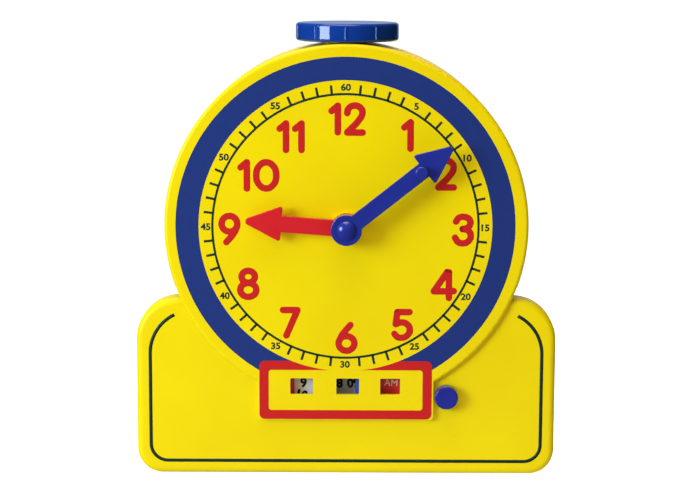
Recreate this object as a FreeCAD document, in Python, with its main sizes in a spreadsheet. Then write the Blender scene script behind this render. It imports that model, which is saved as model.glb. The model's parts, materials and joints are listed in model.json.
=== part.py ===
import FreeCAD
import Part
import math
import os
import re
import Sketcher

# Geared teaching clock: a two-part moulded case with a round dial on a wide base, two geared
# hands, three digit discs behind windows, a sliding shutter and two turning knobs.
# Frame: X to the right, Y to the back, Z up. Depths are counted along Y from the front face of
# the dial, and each body is set back by dialPlane so that the clock is centred on the origin.

sizes = {
    # case
    "dialHeight": 179.0,
    "caseRadius": 127.9,
    "caseDepth": 75.0,
    "parting": 22.0,
    "wall": 2.5,
    "rimRound": 2.5,
    "baseWidth": 298.0,
    "shoulderHeight": 127.5,
    "shoulderRadius": 30.0,
    "footRadius": 18.0,
    "faceStep": 3.5,
    "baseRound": 4.5,
    "panelWidth": 125.0,
    "panelBottom": 40.1,
    "panelTop": 79.0,
    "panelCorner": 3.0,
    "panelDraft": 0.4,
    "rearStep": 0.5,
    "rearInset": 1.5,
    "rearNarrowing": 9.0,
    "rearBevel": 3.0,
    "rearSetback": 2.0,
    "drumRound": 6.0,
    # windows
    "windowBottom": 59.0,
    "windowHeight": 11.6,
    "windowCorner": 0.6,
    "windowWidth": 16.1,
    "noonWindowWidth": 14.1,
    "hourWindowX": -31.4,
    "minuteWindowX": 1.3,
    "noonWindowX": 31.4,
    # fits
    "clearance": 0.3,
    "running": 0.1,
    "press": 0.05,
    "over": 1.0,
    # arbor, pipe and hands
    "arborRadius": 3.0,
    "noseRadius": 2.5,
    "arborEnd": 54.0,
    "pipeRadius": 5.5,
    "sleeveRadius": 4.6,
    "collarRadius": 10.0,
    "collarHeight": 4.5,
    "bossRise": 0.5,
    "handThickness": 3.0,
    "hourHandReach": 10.0,
    "hourHandLength": 70.4,
    "hourHeadBack": 45.5,
    "minuteHandReach": 17.0,
    "minuteHandLength": 92.8,
    "minuteHeadBack": 68.2,
    "headWidth": 25.4,
    "shaftWidth": 11.4,
    "tipWidth": 3.4,
    "cornerRound": 1.5,
    "edgeRound": 0.5,
    "hubRadius": 10.8,
    "hubBack": 12.0,
    "capRadius": 6.6,
    "capHeight": 3.8,
    "capWall": 0.9,
    "plugRadius": 3.6,
    "plugLength": 1.9,
    "pegRadius": 4.3,
    "pegHeight": 7.0,
    "pegRound": 1.0,
    "pegDistance": 66.0,
    "shownHour": 9.143,
    "shownMinute": 8.6,
    # gears
    "gearModule": 1.5,
    "pressureAngle": 25.0,
    "toothPlay": 0.5,
    "addendum": 0.85,
    "dedendum": 1.15,
    "gearWidth": 2.5,
    "levelGap": 0.7,
    "arborTeeth": 10,
    "reductionTeeth": 30,
    "pinionTeeth": 8,
    "hourTeeth": 32,
    "upperIdlerTeeth": 22,
    "lowerIdlerTeeth": 20,
    "discTeeth": 64,
    "linkTeeth": 16,
    "hourDiscX": -64.6,
    "noonDiscX": 58.7,
    "discHeight": 64.2,
    "discThickness": 1.8,
    "minuteDiscThickness": 1.6,
    "minuteDiscRadius": 119.5,
    "discGap": 1.1,
    # posts and screws
    "postRadius": 3.5,
    "slimPostRadius": 2.6,
    "linkPostRadius": 3.0,
    "discPostRadius": 4.0,
    "postRing": 1.5,
    "screwRadius": 1.2,
    "screwLength": 5.5,
    "screwHeadHeight": 1.2,
    "screwHeadRim": 1.8,
    "caseScrewX": 120.0,
    "caseScrewHigh": 95.0,
    "caseScrewLow": 20.0,
    "middleScrewZ": 11.0,
    "bossRadius": 4.5,
    "caseScrewRadius": 1.6,
    "caseScrewLength": 29.0,
    "caseHeadRadius": 2.9,
    "caseHeadHeight": 2.4,
    "caseHeadSeat": 40.0,
    # clamp of the minute disc
    "flangeRadius": 14.0,
    "flangeThickness": 1.4,
    "clampRadius": 10.0,
    "clampCircle": 6.6,
    # crown gear, drive pinion and bearing bridge
    "knobDepth": 37.5,
    "crownTeeth": 36,
    "driveTeeth": 12,
    "crownPlate": 3.5,
    "crownFace": 5.0,
    "crownPlay": 0.4,
    "driveFace": 5.6,
    "driveHub": 11.4,
    "driveHubRadius": 6.5,
    "pinRadius": 0.8,
    "pinSetback": 1.4,
    "shelfThickness": 3.0,
    "shelfWidth": 18.0,
    "shelfGap": 0.75,
    "bridgeFront": 52.0,
    "bridgePlate": 3.0,
    "bridgeWidth": 60.0,
    "bridgeLow": 15.0,
    "bridgeHigh": 47.0,
    "bridgeCorner": 6.0,
    "bridgeBoss": 4.0,
    "bridgeBossRadius": 7.0,
    "bridgeScrewInset": 6.0,
    "bridgeScrewLength": 10.0,
    "bridgePostRadius": 4.0,
    # top knob
    "shaftRadius": 4.0,
    "shaftBelow": 2.5,
    "bushRadius": 7.0,
    "bushFlange": 2.0,
    "bushFlangeRadius": 9.5,
    "bushRise": 0.25,
    "clipThickness": 1.7,
    "clipRadius": 7.5,
    "seatRadius": 15.0,
    "seatRise": 0.3,
    "seatDepth": 9.2,
    "knobRadius": 36.5,
    "knobGap": 0.5,
    "knobHeight": 12.8,
    "knobRound": 2.2,
    "knobWall": 3.0,
    "knobHub": 8.0,
    "knobTurn": -1.5,
    "ribCount": 10,
    "ribRadius": 1.1,
    "ribSink": 0.4,
    # shutter
    "ledgeRise": 0.1,
    "ledgeLap": 1.5,
    "railWidth": 2.3,
    "lipThickness": 1.0,
    "lipWidth": 8.0,
    "lowerLipX": 32.0,
    "upperLipX": 12.0,
    "leftLipX": -30.0,
    "shutterThickness": 1.2,
    "shutterTravel": 16.4,
    "shutterLeft": -57.0,
    "shutterRight": 22.9,
    "shutterBottom": 46.0,
    "shutterTop": 75.5,
    "slotBottom": 57.6,
    "slotTop": 72.4,
    "hourSlotLeft": -36.7,
    "hourSlotRight": -23.3,
    "minuteSlotLeft": -6.9,
    "minuteSlotRight": 6.8,
    "shutterKnobX": 71.3,
    "shutterKnobZ": 57.5,
    "shutterKnobRadius": 8.3,
    "shutterKnobReach": 4.5,
    "shutterKnobRound": 1.2,
    "dishRadius": 6.2,
    "dishDepth": 0.6,
    "stemRadius": 3.5,
    "rackModule": 1.0,
    "rackTeeth": 10,
    "shutterTeeth": 12,
}

# Sizes that follow from the driving ones, as formulas of the same sheet.
derived = {
    "dialPlane": "(minuteHandReach + pegHeight - caseDepth) / 2",
    "hourHubBack": "collarHeight + clearance",
    "hourLevel": "wall + bossRise + clearance",
    "reductionLevel": "hourLevel + gearWidth + levelGap",
    "baseFloor": "faceStep + wall",
    "dialFoot": "wall - bossRise",
    "baseFoot": "baseFloor - bossRise",
    "ledgeTop": "baseFloor + ledgeRise",
    "shutterLevel": "ledgeTop + clearance",
    "lipBottom": "shutterLevel + shutterThickness + clearance",
    "discLevel": "lipBottom + lipThickness + clearance",
    "discBack": "discLevel + discThickness",
    "postTop": "discBack + clearance",
    "minuteDiscLevel": "postTop + screwHeadHeight + discGap",
    "clampLevel": "minuteDiscLevel + minuteDiscThickness",
    "discCircle": "discTeeth * gearModule / 2",
    "lowerIdlerCircle": "lowerIdlerTeeth * gearModule / 2",
    "upperIdlerCircle": "upperIdlerTeeth * gearModule / 2",
    "hourCircle": "hourTeeth * gearModule / 2",
    "linkCircle": "linkTeeth * gearModule / 2",
    "driveCircle": "driveTeeth * gearModule / 2",
    "crownCircle": "crownTeeth * gearModule / 2",
    "reductionHeight": "dialHeight + (arborTeeth + reductionTeeth) * gearModule / 2",
    # the lower idler lies on the line from the hour disc to the dial's centre
    "hourDiscDrop": "dialHeight - discHeight",
    "hourDiscSpan": "sqrt(hourDiscX ^ 2 + hourDiscDrop ^ 2)",
    "lowerShare": "(discCircle + lowerIdlerCircle) / hourDiscSpan",
    "lowerIdlerX": "hourDiscX * (1 - lowerShare)",
    "lowerIdlerZ": "discHeight + hourDiscDrop * lowerShare",
    # the upper idler closes the triangle between the lower idler and the hour wheel, on the left
    "upperSpan": "hourDiscSpan * (1 - lowerShare)",
    "upperReach": "upperIdlerCircle + lowerIdlerCircle",
    "upperArm": "upperIdlerCircle + hourCircle",
    "upperAlong": "(upperReach ^ 2 - upperArm ^ 2 + upperSpan ^ 2) / (2 * upperSpan)",
    "upperAside": "sqrt(upperReach ^ 2 - upperAlong ^ 2)",
    "upperIdlerX": "lowerIdlerX - (hourDiscX * upperAlong + hourDiscDrop * upperAside) / hourDiscSpan",
    "upperIdlerZ": "lowerIdlerZ + (hourDiscDrop * upperAlong - hourDiscX * upperAside) / hourDiscSpan",
    # the two link idlers stand side by side under the discs
    "linkMiddle": "(hourDiscX + noonDiscX) / 2",
    "linkAside": "(noonDiscX - hourDiscX) / 2 - linkCircle",
    "linkHeight": "discHeight - sqrt((discCircle + linkCircle) ^ 2 - linkAside ^ 2)",
    "leftLinkX": "linkMiddle - linkCircle",
    "rightLinkX": "linkMiddle + linkCircle",
    # crown gear and drive
    "crownPitch": "knobDepth - driveCircle - crownPlay",
    "crownBack": "crownPitch - dedendum * gearModule",
    "crownFront": "crownBack - crownPlate",
    "driveMiddle": "dialHeight + crownCircle",
    "driveBottom": "driveMiddle - driveHub / 2",
    "lowerShelf": "driveBottom - clearance - shelfThickness",
    "upperShelf": "driveMiddle + driveHub / 2 + clearance",
    "shaftBottom": "lowerShelf - shaftBelow",
    "shelfFront": "crownPitch + addendum * gearModule + shelfGap",
    "bridgeBack": "bridgeFront + bridgePlate",
    "seatTop": "dialHeight + caseRadius + seatRise",
    "seatBottom": "seatTop - seatDepth",
    "knobBottom": "seatTop + knobGap",
    "shaftTop": "knobBottom + knobHeight - knobWall",
    "pinHeight": "driveBottom + pinSetback",
    # shutter
    "railLow": "shutterBottom - clearance - railWidth",
    "railHigh": "shutterTop + clearance + railWidth",
    "pinionCircle": "shutterTeeth * rackModule / 2",
    "rackLine": "shutterKnobZ - pinionCircle",
    "rackRoot": "rackLine - dedendum * rackModule",
    "rackStart": "shutterKnobX - (rackTeeth - 2.5) * pi * rackModule",
    "armRight": "shutterKnobX + 2 * pi * rackModule",
    "guideRight": "armRight + shutterTravel + over",
}

doc = FreeCAD.newDocument("TeachingClock")
sheet = doc.addObject("Spreadsheet::Sheet", "Sizes")
row = 1
for alias, amount in sizes.items():
    sheet.set("A%d" % row, alias)
    sheet.set("B%d" % row, str(amount))
    sheet.setAlias("B%d" % row, alias)
    row += 1
for alias, rule in derived.items():
    sheet.set("A%d" % row, alias)
    sheet.set("B%d" % row, "=" + rule)
    sheet.setAlias("B%d" % row, alias)
    row += 1
doc.recompute()

vector = FreeCAD.Vector
parts = []


def formula(text):
    """An expression for other objects: every alias gets the sheet's name in front."""
    return re.sub(r"[a-z]\w*", lambda word: "Sizes." + word.group()
                  if word.group() in sizes or word.group() in derived else word.group(), text)


def number(text):
    return float(sheet.evalExpression(formula(text)))


def bind(item, prop, text):
    item.setExpression(prop, formula(text))


# Bodies and sketches.

def newBody(label, x="0", z="0", depth="0", turn=0.0, axis=(0, 1, 0)):
    """A body with its origin on its own axis; turn is its angle at rest, in degrees."""
    body = doc.addObject("PartDesign::Body", label)
    body.Label = label
    body.Placement = FreeCAD.Placement(vector(0, 0, 0), FreeCAD.Rotation(vector(*axis), turn))
    bind(body, "Placement.Base.x", x)
    bind(body, "Placement.Base.y", "dialPlane + " + depth)
    bind(body, "Placement.Base.z", z)
    parts.append(body)
    return body


def originFeature(body, role):
    return next(item for item in body.Origin.OriginFeatures if item.Role == role)


def newSketch(body, name, lift, x="0", y="0", plane="XZ_Plane"):
    """Sketch on an origin plane; on XZ_Plane its lift is a depth and its y a height."""
    sketch = body.newObject("Sketcher::SketchObject", name)
    sketch.AttachmentSupport = [(originFeature(body, plane), "")]
    sketch.MapMode = "FlatFace"
    side = "-" if plane == "XZ_Plane" else ""
    bind(sketch, "AttachmentOffset.Base.x", x)
    bind(sketch, "AttachmentOffset.Base.y", y)
    bind(sketch, "AttachmentOffset.Base.z", "%s(%s)" % (side, lift))
    return sketch


def dimension(sketch, kind, references, name, text):
    """A named driving dimension, bound to a formula of the sizes."""
    index = sketch.addConstraint(Sketcher.Constraint(kind, *references, number(text)))
    sketch.renameConstraint(index, name)
    bind(sketch, "Constraints." + name, text)


def circleSketch(body, name, lift, radius, x="0", y="0", plane="XZ_Plane"):
    sketch = newSketch(body, name, lift, x, y, plane)
    sketch.addGeometry(Part.Circle(vector(0, 0, 0), vector(0, 0, 1), number(radius)))
    sketch.addConstraint(Sketcher.Constraint("Coincident", 0, 3, -1, 1))
    dimension(sketch, "Radius", (0,), "radius", radius)
    return sketch


def trapezoidSketch(body, name, lift, low, high, lowWidth, highWidth, x="0", plane="XZ_Plane"):
    """Four-sided outline, symmetric about the sketch's vertical axis."""
    sketch = newSketch(body, name, lift, x, "0", plane)
    floor = number(low)
    roof = number(high)
    near = number(lowWidth) / 2
    far = number(highWidth) / 2
    corners = [vector(-near, floor, 0), vector(near, floor, 0), vector(far, roof, 0), vector(-far, roof, 0)]
    for side in range(4):
        sketch.addGeometry(Part.LineSegment(corners[side], corners[(side + 1) % 4]))
    for side in range(4):
        sketch.addConstraint(Sketcher.Constraint("Coincident", side, 2, (side + 1) % 4, 1))
    sketch.addConstraint(Sketcher.Constraint("Symmetric", 0, 1, 0, 2, -2))
    sketch.addConstraint(Sketcher.Constraint("Symmetric", 2, 1, 2, 2, -2))
    dimension(sketch, "DistanceX", (0, 1, 0, 2), "lowWidth", lowWidth)
    dimension(sketch, "DistanceX", (2, 2, 2, 1), "highWidth", highWidth)
    dimension(sketch, "DistanceY", (-1, 1, 0, 1), "low", low)
    dimension(sketch, "DistanceY", (-1, 1, 2, 1), "high", high)
    return sketch


def barSketch(body, name, lift, left, right, low, high):
    width = "(%s) - (%s)" % (right, left)
    middle = "((%s) + (%s)) / 2" % (left, right)
    return trapezoidSketch(body, name, lift, low, high, width, width, middle)


def plateSketch(body, name, lift, width, low, high, lowRadius, highRadius, x="0", plane="XZ_Plane"):
    """Rounded rectangle, symmetric about its vertical axis, with its own low and high corners."""
    sketch = newSketch(body, name, lift, x, "0", plane)
    half = number(width) / 2
    floor = number(low)
    roof = number(high)
    small = number(lowRadius)
    large = number(highRadius)
    quarter = math.pi / 2

    def corner(centreX, centreY, radius, start):
        circle = Part.Circle(vector(centreX, centreY, 0), vector(0, 0, 1), radius)
        sketch.addGeometry(Part.ArcOfCircle(circle, start, start + quarter))

    def side(startX, startY, endX, endY):
        sketch.addGeometry(Part.LineSegment(vector(startX, startY, 0), vector(endX, endY, 0)))

    side(small - half, floor, half - small, floor)
    corner(half - small, floor + small, small, -quarter)
    side(half, floor + small, half, roof - large)
    corner(half - large, roof - large, large, 0)
    side(half - large, roof, large - half, roof)
    corner(large - half, roof - large, large, quarter)
    side(-half, roof - large, -half, floor + small)
    corner(small - half, floor + small, small, 2 * quarter)
    for index in range(8):
        sketch.addConstraint(Sketcher.Constraint("Tangent", index, 2, (index + 1) % 8, 1))
    sketch.addConstraint(Sketcher.Constraint("Symmetric", 0, 1, 0, 2, -2))
    sketch.addConstraint(Sketcher.Constraint("Vertical", 2))
    sketch.addConstraint(Sketcher.Constraint("Horizontal", 4))
    sketch.addConstraint(Sketcher.Constraint("Vertical", 6))
    sketch.addConstraint(Sketcher.Constraint("Equal", 1, 7))
    sketch.addConstraint(Sketcher.Constraint("Equal", 3, 5))
    dimension(sketch, "Radius", (1,), "lowRadius", lowRadius)
    dimension(sketch, "Radius", (3,), "highRadius", highRadius)
    dimension(sketch, "DistanceX", (6, 2, 2, 1), "width", width)
    dimension(sketch, "DistanceY", (-1, 1, 0, 1), "low", low)
    dimension(sketch, "DistanceY", (-1, 1, 4, 1), "high", high)
    return sketch


def turnedSketch(body, name, apex, edge, end, radius):
    """Half section about the body's Y axis: a ball's arc from apex to edge, then straight to the end."""
    sketch = newSketch(body, name, "0", plane="XY_Plane")
    tip = number(apex)
    rim = number(edge)
    foot = number(end)
    wide = number(radius)
    ball = (wide ** 2 + (rim - tip) ** 2) / (2 * (rim - tip))
    atTip = -math.copysign(math.pi / 2, ball)
    atRim = math.atan2(rim - tip - ball, wide)
    circle = Part.Circle(vector(0, tip + ball, 0), vector(0, 0, 1), abs(ball))
    sketch.addGeometry(Part.ArcOfCircle(circle, min(atTip, atRim), max(atTip, atRim)))
    sketch.addGeometry(Part.LineSegment(vector(wide, rim, 0), vector(wide, foot, 0)))
    sketch.addGeometry(Part.LineSegment(vector(wide, foot, 0), vector(0, foot, 0)))
    sketch.addGeometry(Part.LineSegment(vector(0, foot, 0), vector(0, tip, 0)))
    tipEnd, rimEnd = (1, 2) if ball > 0 else (2, 1)
    sketch.addConstraint(Sketcher.Constraint("Coincident", 0, rimEnd, 1, 1))
    sketch.addConstraint(Sketcher.Constraint("Coincident", 1, 2, 2, 1))
    sketch.addConstraint(Sketcher.Constraint("Coincident", 2, 2, 3, 1))
    sketch.addConstraint(Sketcher.Constraint("Coincident", 3, 2, 0, tipEnd))
    sketch.addConstraint(Sketcher.Constraint("PointOnObject", 0, 3, -2))
    sketch.addConstraint(Sketcher.Constraint("PointOnObject", 3, 1, -2))
    sketch.addConstraint(Sketcher.Constraint("PointOnObject", 3, 2, -2))
    sketch.addConstraint(Sketcher.Constraint("Vertical", 1))
    sketch.addConstraint(Sketcher.Constraint("Horizontal", 2))
    dimension(sketch, "DistanceY", (-1, 1, 3, 2), "apex", apex)
    dimension(sketch, "DistanceY", (-1, 1, 1, 1), "edge", edge)
    dimension(sketch, "DistanceY", (-1, 1, 3, 1), "end", end)
    dimension(sketch, "DistanceX", (-1, 1, 1, 1), "radius", radius)
    return sketch


# Features.

def isUpright(sketch):
    return sketch.AttachmentSupport[0][0].Role == "XZ_Plane"


def pad(body, name, sketch, length):
    """Extrusion to the back, or upwards from a sketch on the level plane."""
    feature = body.newObject("PartDesign::Pad", name)
    feature.Profile = sketch
    feature.Reversed = isUpright(sketch)
    bind(feature, "Length", length)
    doc.recompute()
    return feature


def cut(body, name, sketch, length):
    """Pocket in the direction of pad; it has to take material away."""
    before = body.Shape.Volume
    feature = body.newObject("PartDesign::Pocket", name)
    feature.Profile = sketch
    feature.Reversed = not isUpright(sketch)
    bind(feature, "Length", length)
    doc.recompute()
    if body.Shape.Volume > before - 0.01:
        raise RuntimeError(name + " takes nothing away")
    return feature


def turned(body, kind, name, sketch):
    """Revolution or groove of a half section about the body's Y axis."""
    feature = body.newObject("PartDesign::" + kind, name)
    feature.Profile = sketch
    feature.ReferenceAxis = (sketch, ["V_Axis"])
    feature.Angle = 360
    doc.recompute()
    return feature


def loft(body, kind, name, sections):
    feature = body.newObject("PartDesign::" + kind, name)
    feature.Profile = sections[0]
    feature.Sections = sections[1:]
    feature.Ruled = True
    doc.recompute()
    return feature


def roundEdges(body, name, base, radius, chosen):
    """Fillet on the edges of base that the test picks."""
    names = ["Edge%d" % (index + 1) for index, edge in enumerate(base.Shape.Edges) if chosen(edge.BoundBox)]
    feature = body.newObject("PartDesign::Fillet", name)
    feature.Base = (base, names)
    bind(feature, "Radius", radius)
    doc.recompute()
    return feature


def atDepth(text):
    """Test for edges that lie in the plane at this depth."""
    depth = number(text)
    return lambda box: abs(box.YMin - depth) < 0.01 and abs(box.YMax - depth) < 0.01


def repeat(body, name, feature, axis, count):
    """Full circle of copies about one of the body's own axes."""
    pattern = body.newObject("PartDesign::PolarPattern", name)
    pattern.Originals = [feature]
    pattern.Axis = (originFeature(body, axis), [""])
    pattern.Angle = 360
    bind(pattern, "Occurrences", count)
    body.Tip = pattern
    doc.recompute()
    return pattern


def post(body, name, x, z, radius, root, top):
    return pad(body, name, circleSketch(body, name + "Circle", root, radius, x, z), "%s - (%s)" % (top, root))


def bore(body, name, radius, start, end, x="0", z="0"):
    circle = circleSketch(body, name + "Circle", start, radius, x, z)
    return cut(body, name, circle, "%s - (%s)" % (end, start))


# Gear teeth.

def toothSketch(body, name, lift, teeth, module, plane):
    """One straight-flanked tooth whose flanks have the pressure angle at the pitch circle."""
    pitch = "%s * %s / 2" % (teeth, module)
    lean = "tan(pressureAngle - 90 / %s)" % teeth
    width = "pi * %s / 2 - toothPlay * %s / gearModule" % (module, module)
    root = "(dedendum + clearance) * %s" % module
    tip = "addendum * %s" % module
    return trapezoidSketch(body, name, lift, "%s - %s" % (pitch, root), "%s + %s" % (pitch, tip),
                           "%s + 2 * %s * %s" % (width, root, lean),
                           "%s - 2 * %s * %s" % (width, tip, lean), "0", plane)


def addGear(body, name, lift, width, teeth, module="gearModule", plane="XZ_Plane"):
    """Toothed disc on the body's own axis, with one tooth at the sketch's top."""
    root = "%s * %s / 2 - dedendum * %s" % (teeth, module, module)
    pad(body, name + "Blank", circleSketch(body, name + "Root", lift, root, plane=plane), width)
    tooth = pad(body, name + "Tooth", toothSketch(body, name + "Flanks", lift, teeth, module, plane), width)
    return repeat(body, name + "Teeth", tooth, "Y_Axis" if plane == "XZ_Plane" else "Z_Axis", teeth)


def bearing(start, end):
    return math.degrees(math.atan2(end[1] - start[1], end[0] - start[0]))


def meshAngle(start, startAngle, startTeeth, end, endTeeth):
    """Direction of a tooth of the wheel at end that fits a tooth of the wheel at start."""
    line = bearing(start, end)
    return line - 180 - (180 - (line - startAngle) * number(startTeeth)) / number(endTeeth)


def place(x, z):
    return number(x), number(z)


dialCentre = place("0", "dialHeight")
reductionCentre = place("0", "reductionHeight")
upperIdlerCentre = place("upperIdlerX", "upperIdlerZ")
lowerIdlerCentre = place("lowerIdlerX", "lowerIdlerZ")
hourDiscCentre = place("hourDiscX", "discHeight")
leftLinkCentre = place("leftLinkX", "linkHeight")
rightLinkCentre = place("rightLinkX", "linkHeight")
noonDiscCentre = place("noonDiscX", "discHeight")

# Each angle is the direction of one tooth, counter-clockwise from +X as seen from the front.
arborAngle = 90.0
reductionAngle = meshAngle(dialCentre, arborAngle, "arborTeeth", reductionCentre, "reductionTeeth")
pinionAngle = 270.0
hourAngle = meshAngle(reductionCentre, pinionAngle, "pinionTeeth", dialCentre, "hourTeeth")
upperAngle = meshAngle(dialCentre, hourAngle, "hourTeeth", upperIdlerCentre, "upperIdlerTeeth")
lowerAngle = meshAngle(upperIdlerCentre, upperAngle, "upperIdlerTeeth", lowerIdlerCentre, "lowerIdlerTeeth")
hourDiscAngle = meshAngle(lowerIdlerCentre, lowerAngle, "lowerIdlerTeeth", hourDiscCentre, "discTeeth")
leftLinkAngle = meshAngle(hourDiscCentre, hourDiscAngle, "discTeeth", leftLinkCentre, "linkTeeth")
rightLinkAngle = meshAngle(leftLinkCentre, leftLinkAngle, "linkTeeth", rightLinkCentre, "linkTeeth")
noonDiscAngle = meshAngle(rightLinkCentre, rightLinkAngle, "linkTeeth", noonDiscCentre, "discTeeth")


def turnTo(angle):
    """Turn about +Y, clockwise from the front, that brings a body's top to this direction."""
    return 90.0 - angle


# Posts that carry the gears: x, z, radius, foot, foot of the thrust ring, its top, top.
gearPosts = {
    "Reduction": ("0", "reductionHeight", "slimPostRadius", "dialFoot", "dialFoot",
                  "hourLevel - clearance", "reductionLevel + gearWidth + clearance"),
    "UpperIdler": ("upperIdlerX", "upperIdlerZ", "postRadius", "dialFoot", "dialFoot",
                   "hourLevel - clearance", "hourLevel + gearWidth + clearance"),
    "LowerIdler": ("lowerIdlerX", "lowerIdlerZ", "postRadius", "dialFoot", "dialFoot",
                   "hourLevel - clearance", "postTop"),
    "HourDisc": ("hourDiscX", "discHeight", "discPostRadius", "baseFoot", "baseFoot",
                 "discLevel - clearance", "postTop"),
    "NoonDisc": ("noonDiscX", "discHeight", "discPostRadius", "dialFoot", "baseFoot",
                 "discLevel - clearance", "postTop"),
    "LeftLink": ("leftLinkX", "linkHeight", "linkPostRadius", "baseFoot", "baseFoot",
                 "discLevel - clearance", "postTop"),
    "RightLink": ("rightLinkX", "linkHeight", "linkPostRadius", "baseFoot", "baseFoot",
                  "discLevel - clearance", "postTop"),
}

caseScrewPlaces = [("-caseScrewX", "caseScrewHigh"), ("caseScrewX", "caseScrewHigh"),
                   ("-caseScrewX", "caseScrewLow"), ("caseScrewX", "caseScrewLow"), ("0", "middleScrewZ")]

bridgeScrewPlaces = [(side + "(bridgeWidth / 2 - bridgeScrewInset)", height)
                     for side in ("-", "")
                     for height in ("dialHeight - bridgeLow + bridgeScrewInset",
                                    "dialHeight + bridgeHigh - bridgeScrewInset")]


# Case.

def frontShell():
    body = newBody("front_shell")
    outline = plateSketch(body, "BaseOutline", "faceStep", "baseWidth", "0", "shoulderHeight",
                          "footRadius", "shoulderRadius")
    base = pad(body, "Base", outline, "parting - faceStep")
    roundEdges(body, "BaseRound", base, "baseRound", atDepth("faceStep"))
    drum = post(body, "Drum", "0", "dialHeight", "caseRadius", "0", "parting")
    roundEdges(body, "RimRound", drum, "rimRound", atDepth("0"))
    panelFront = plateSketch(body, "PanelFront", "0", "panelWidth - 2 * panelDraft",
                             "panelBottom + panelDraft", "panelTop", "panelCorner", "panelCorner")
    panelRoot = plateSketch(body, "PanelRoot", "baseFloor", "panelWidth", "panelBottom", "panelTop",
                            "panelCorner", "panelCorner")
    loft(body, "AdditiveLoft", "Panel", [panelFront, panelRoot])
    hollowFront(body)
    collar = post(body, "Collar", "0", "dialHeight", "collarRadius", "-collarHeight", "wall + bossRise")
    roundEdges(body, "CollarRound", collar, "edgeRound", atDepth("-collarHeight"))
    bore(body, "PipeBore", "pipeRadius + running", "-collarHeight - over", "hourLevel", "0", "dialHeight")
    windows = {"Hour": ("hourWindowX", "windowWidth"), "Minute": ("minuteWindowX", "windowWidth"),
               "Noon": ("noonWindowX", "noonWindowWidth")}
    for name, (x, width) in windows.items():
        opening = plateSketch(body, name + "Opening", "-over", width, "windowBottom",
                              "windowBottom + windowHeight", "windowCorner", "windowCorner", x)
        cut(body, name + "Window", opening, "wall + 2 * over")
    bore(body, "StemBore", "stemRadius + running", "faceStep - over", "baseFloor + over", "shutterKnobX",
         "shutterKnobZ")
    addGearPosts(body)
    addShutterGuides(body)
    for index, (x, z) in enumerate(caseScrewPlaces):
        post(body, "CaseBoss%d" % index, x, z, "bossRadius", "baseFoot", "parting")
        bore(body, "CasePilot%d" % index, "caseScrewRadius + press", "caseHeadSeat - caseScrewLength - over",
             "parting + over", x, z)


def hollowFront(body):
    """Three pockets that leave one even wall behind the dial, the base's face and the panel."""
    cut(body, "DrumCavity", circleSketch(body, "DrumInside", "wall", "caseRadius - wall", "0", "dialHeight"),
        "parting - wall")
    cut(body, "BaseCavity", plateSketch(body, "BaseInside", "baseFloor", "baseWidth - 2 * wall", "wall",
                                        "shoulderHeight - wall", "footRadius - wall",
                                        "shoulderRadius - wall"), "parting - baseFloor")
    cut(body, "PanelCavity", plateSketch(body, "PanelInside", "wall", "panelWidth - 2 * wall",
                                         "panelBottom + wall", "panelTop", "windowCorner", "windowCorner"),
        "faceStep")


def addGearPosts(body):
    for name, (x, z, radius, foot, ringFoot, ringTop, top) in gearPosts.items():
        post(body, name + "Post", x, z, radius, foot, top)
        post(body, name + "Ring", x, z, radius + " + postRing", ringFoot, ringTop)
        bore(body, name + "Pilot", "screwRadius + press", "%s - screwLength - clearance" % top,
             top + " + over", x, z)


def addShutterGuides(body):
    """Two ledges with rails on which the shutter slides, and four lips that keep it down."""
    edge = "(panelWidth / 2 - wall)"
    rails = {"LowerLedge": ("railLow", "shutterBottom + ledgeLap", "ledgeTop"),
             "LowerRail": ("railLow", "railLow + railWidth", "lipBottom"),
             "UpperLedge": ("shutterTop - ledgeLap", "railHigh", "ledgeTop"),
             "UpperRail": ("railHigh - railWidth", "railHigh", "lipBottom")}
    for name, (low, high, top) in rails.items():
        bar = barSketch(body, name + "Bar", "dialFoot", "-" + edge, edge, low, high)
        pad(body, name, bar, "%s - dialFoot" % top)
        if name.startswith("Lower"):
            bar = barSketch(body, name + "EndBar", "baseFoot", edge + " - over", "guideRight", low, high)
            pad(body, name + "End", bar, "%s - baseFoot" % top)
    lips = {"LeftLower": ("leftLipX", "railLow", "shutterBottom + ledgeLap"),
            "RightLower": ("lowerLipX", "railLow", "shutterBottom + ledgeLap"),
            "LeftUpper": ("leftLipX", "shutterTop - ledgeLap", "railHigh"),
            "RightUpper": ("upperLipX", "shutterTop - ledgeLap", "railHigh")}
    for name, (x, low, high) in lips.items():
        bar = barSketch(body, name + "LipBar", "lipBottom", x + " - lipWidth / 2", x + " + lipWidth / 2",
                        low, high)
        pad(body, name + "Lip", bar, "lipThickness")


def rearSection(body, name, lift, inset, skin="0"):
    """Outline of the rear base at one depth; skin makes it the inside of the same wall."""
    return plateSketch(body, name, lift, "baseWidth - 2 * (%s) - 2 * %s" % (inset, skin), skin,
                       "shoulderHeight - (%s) - %s" % (inset, skin),
                       "footRadius - (%s) / 3 - %s" % (inset, skin),
                       "shoulderRadius - (%s) / 3 - %s" % (inset, skin))


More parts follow.
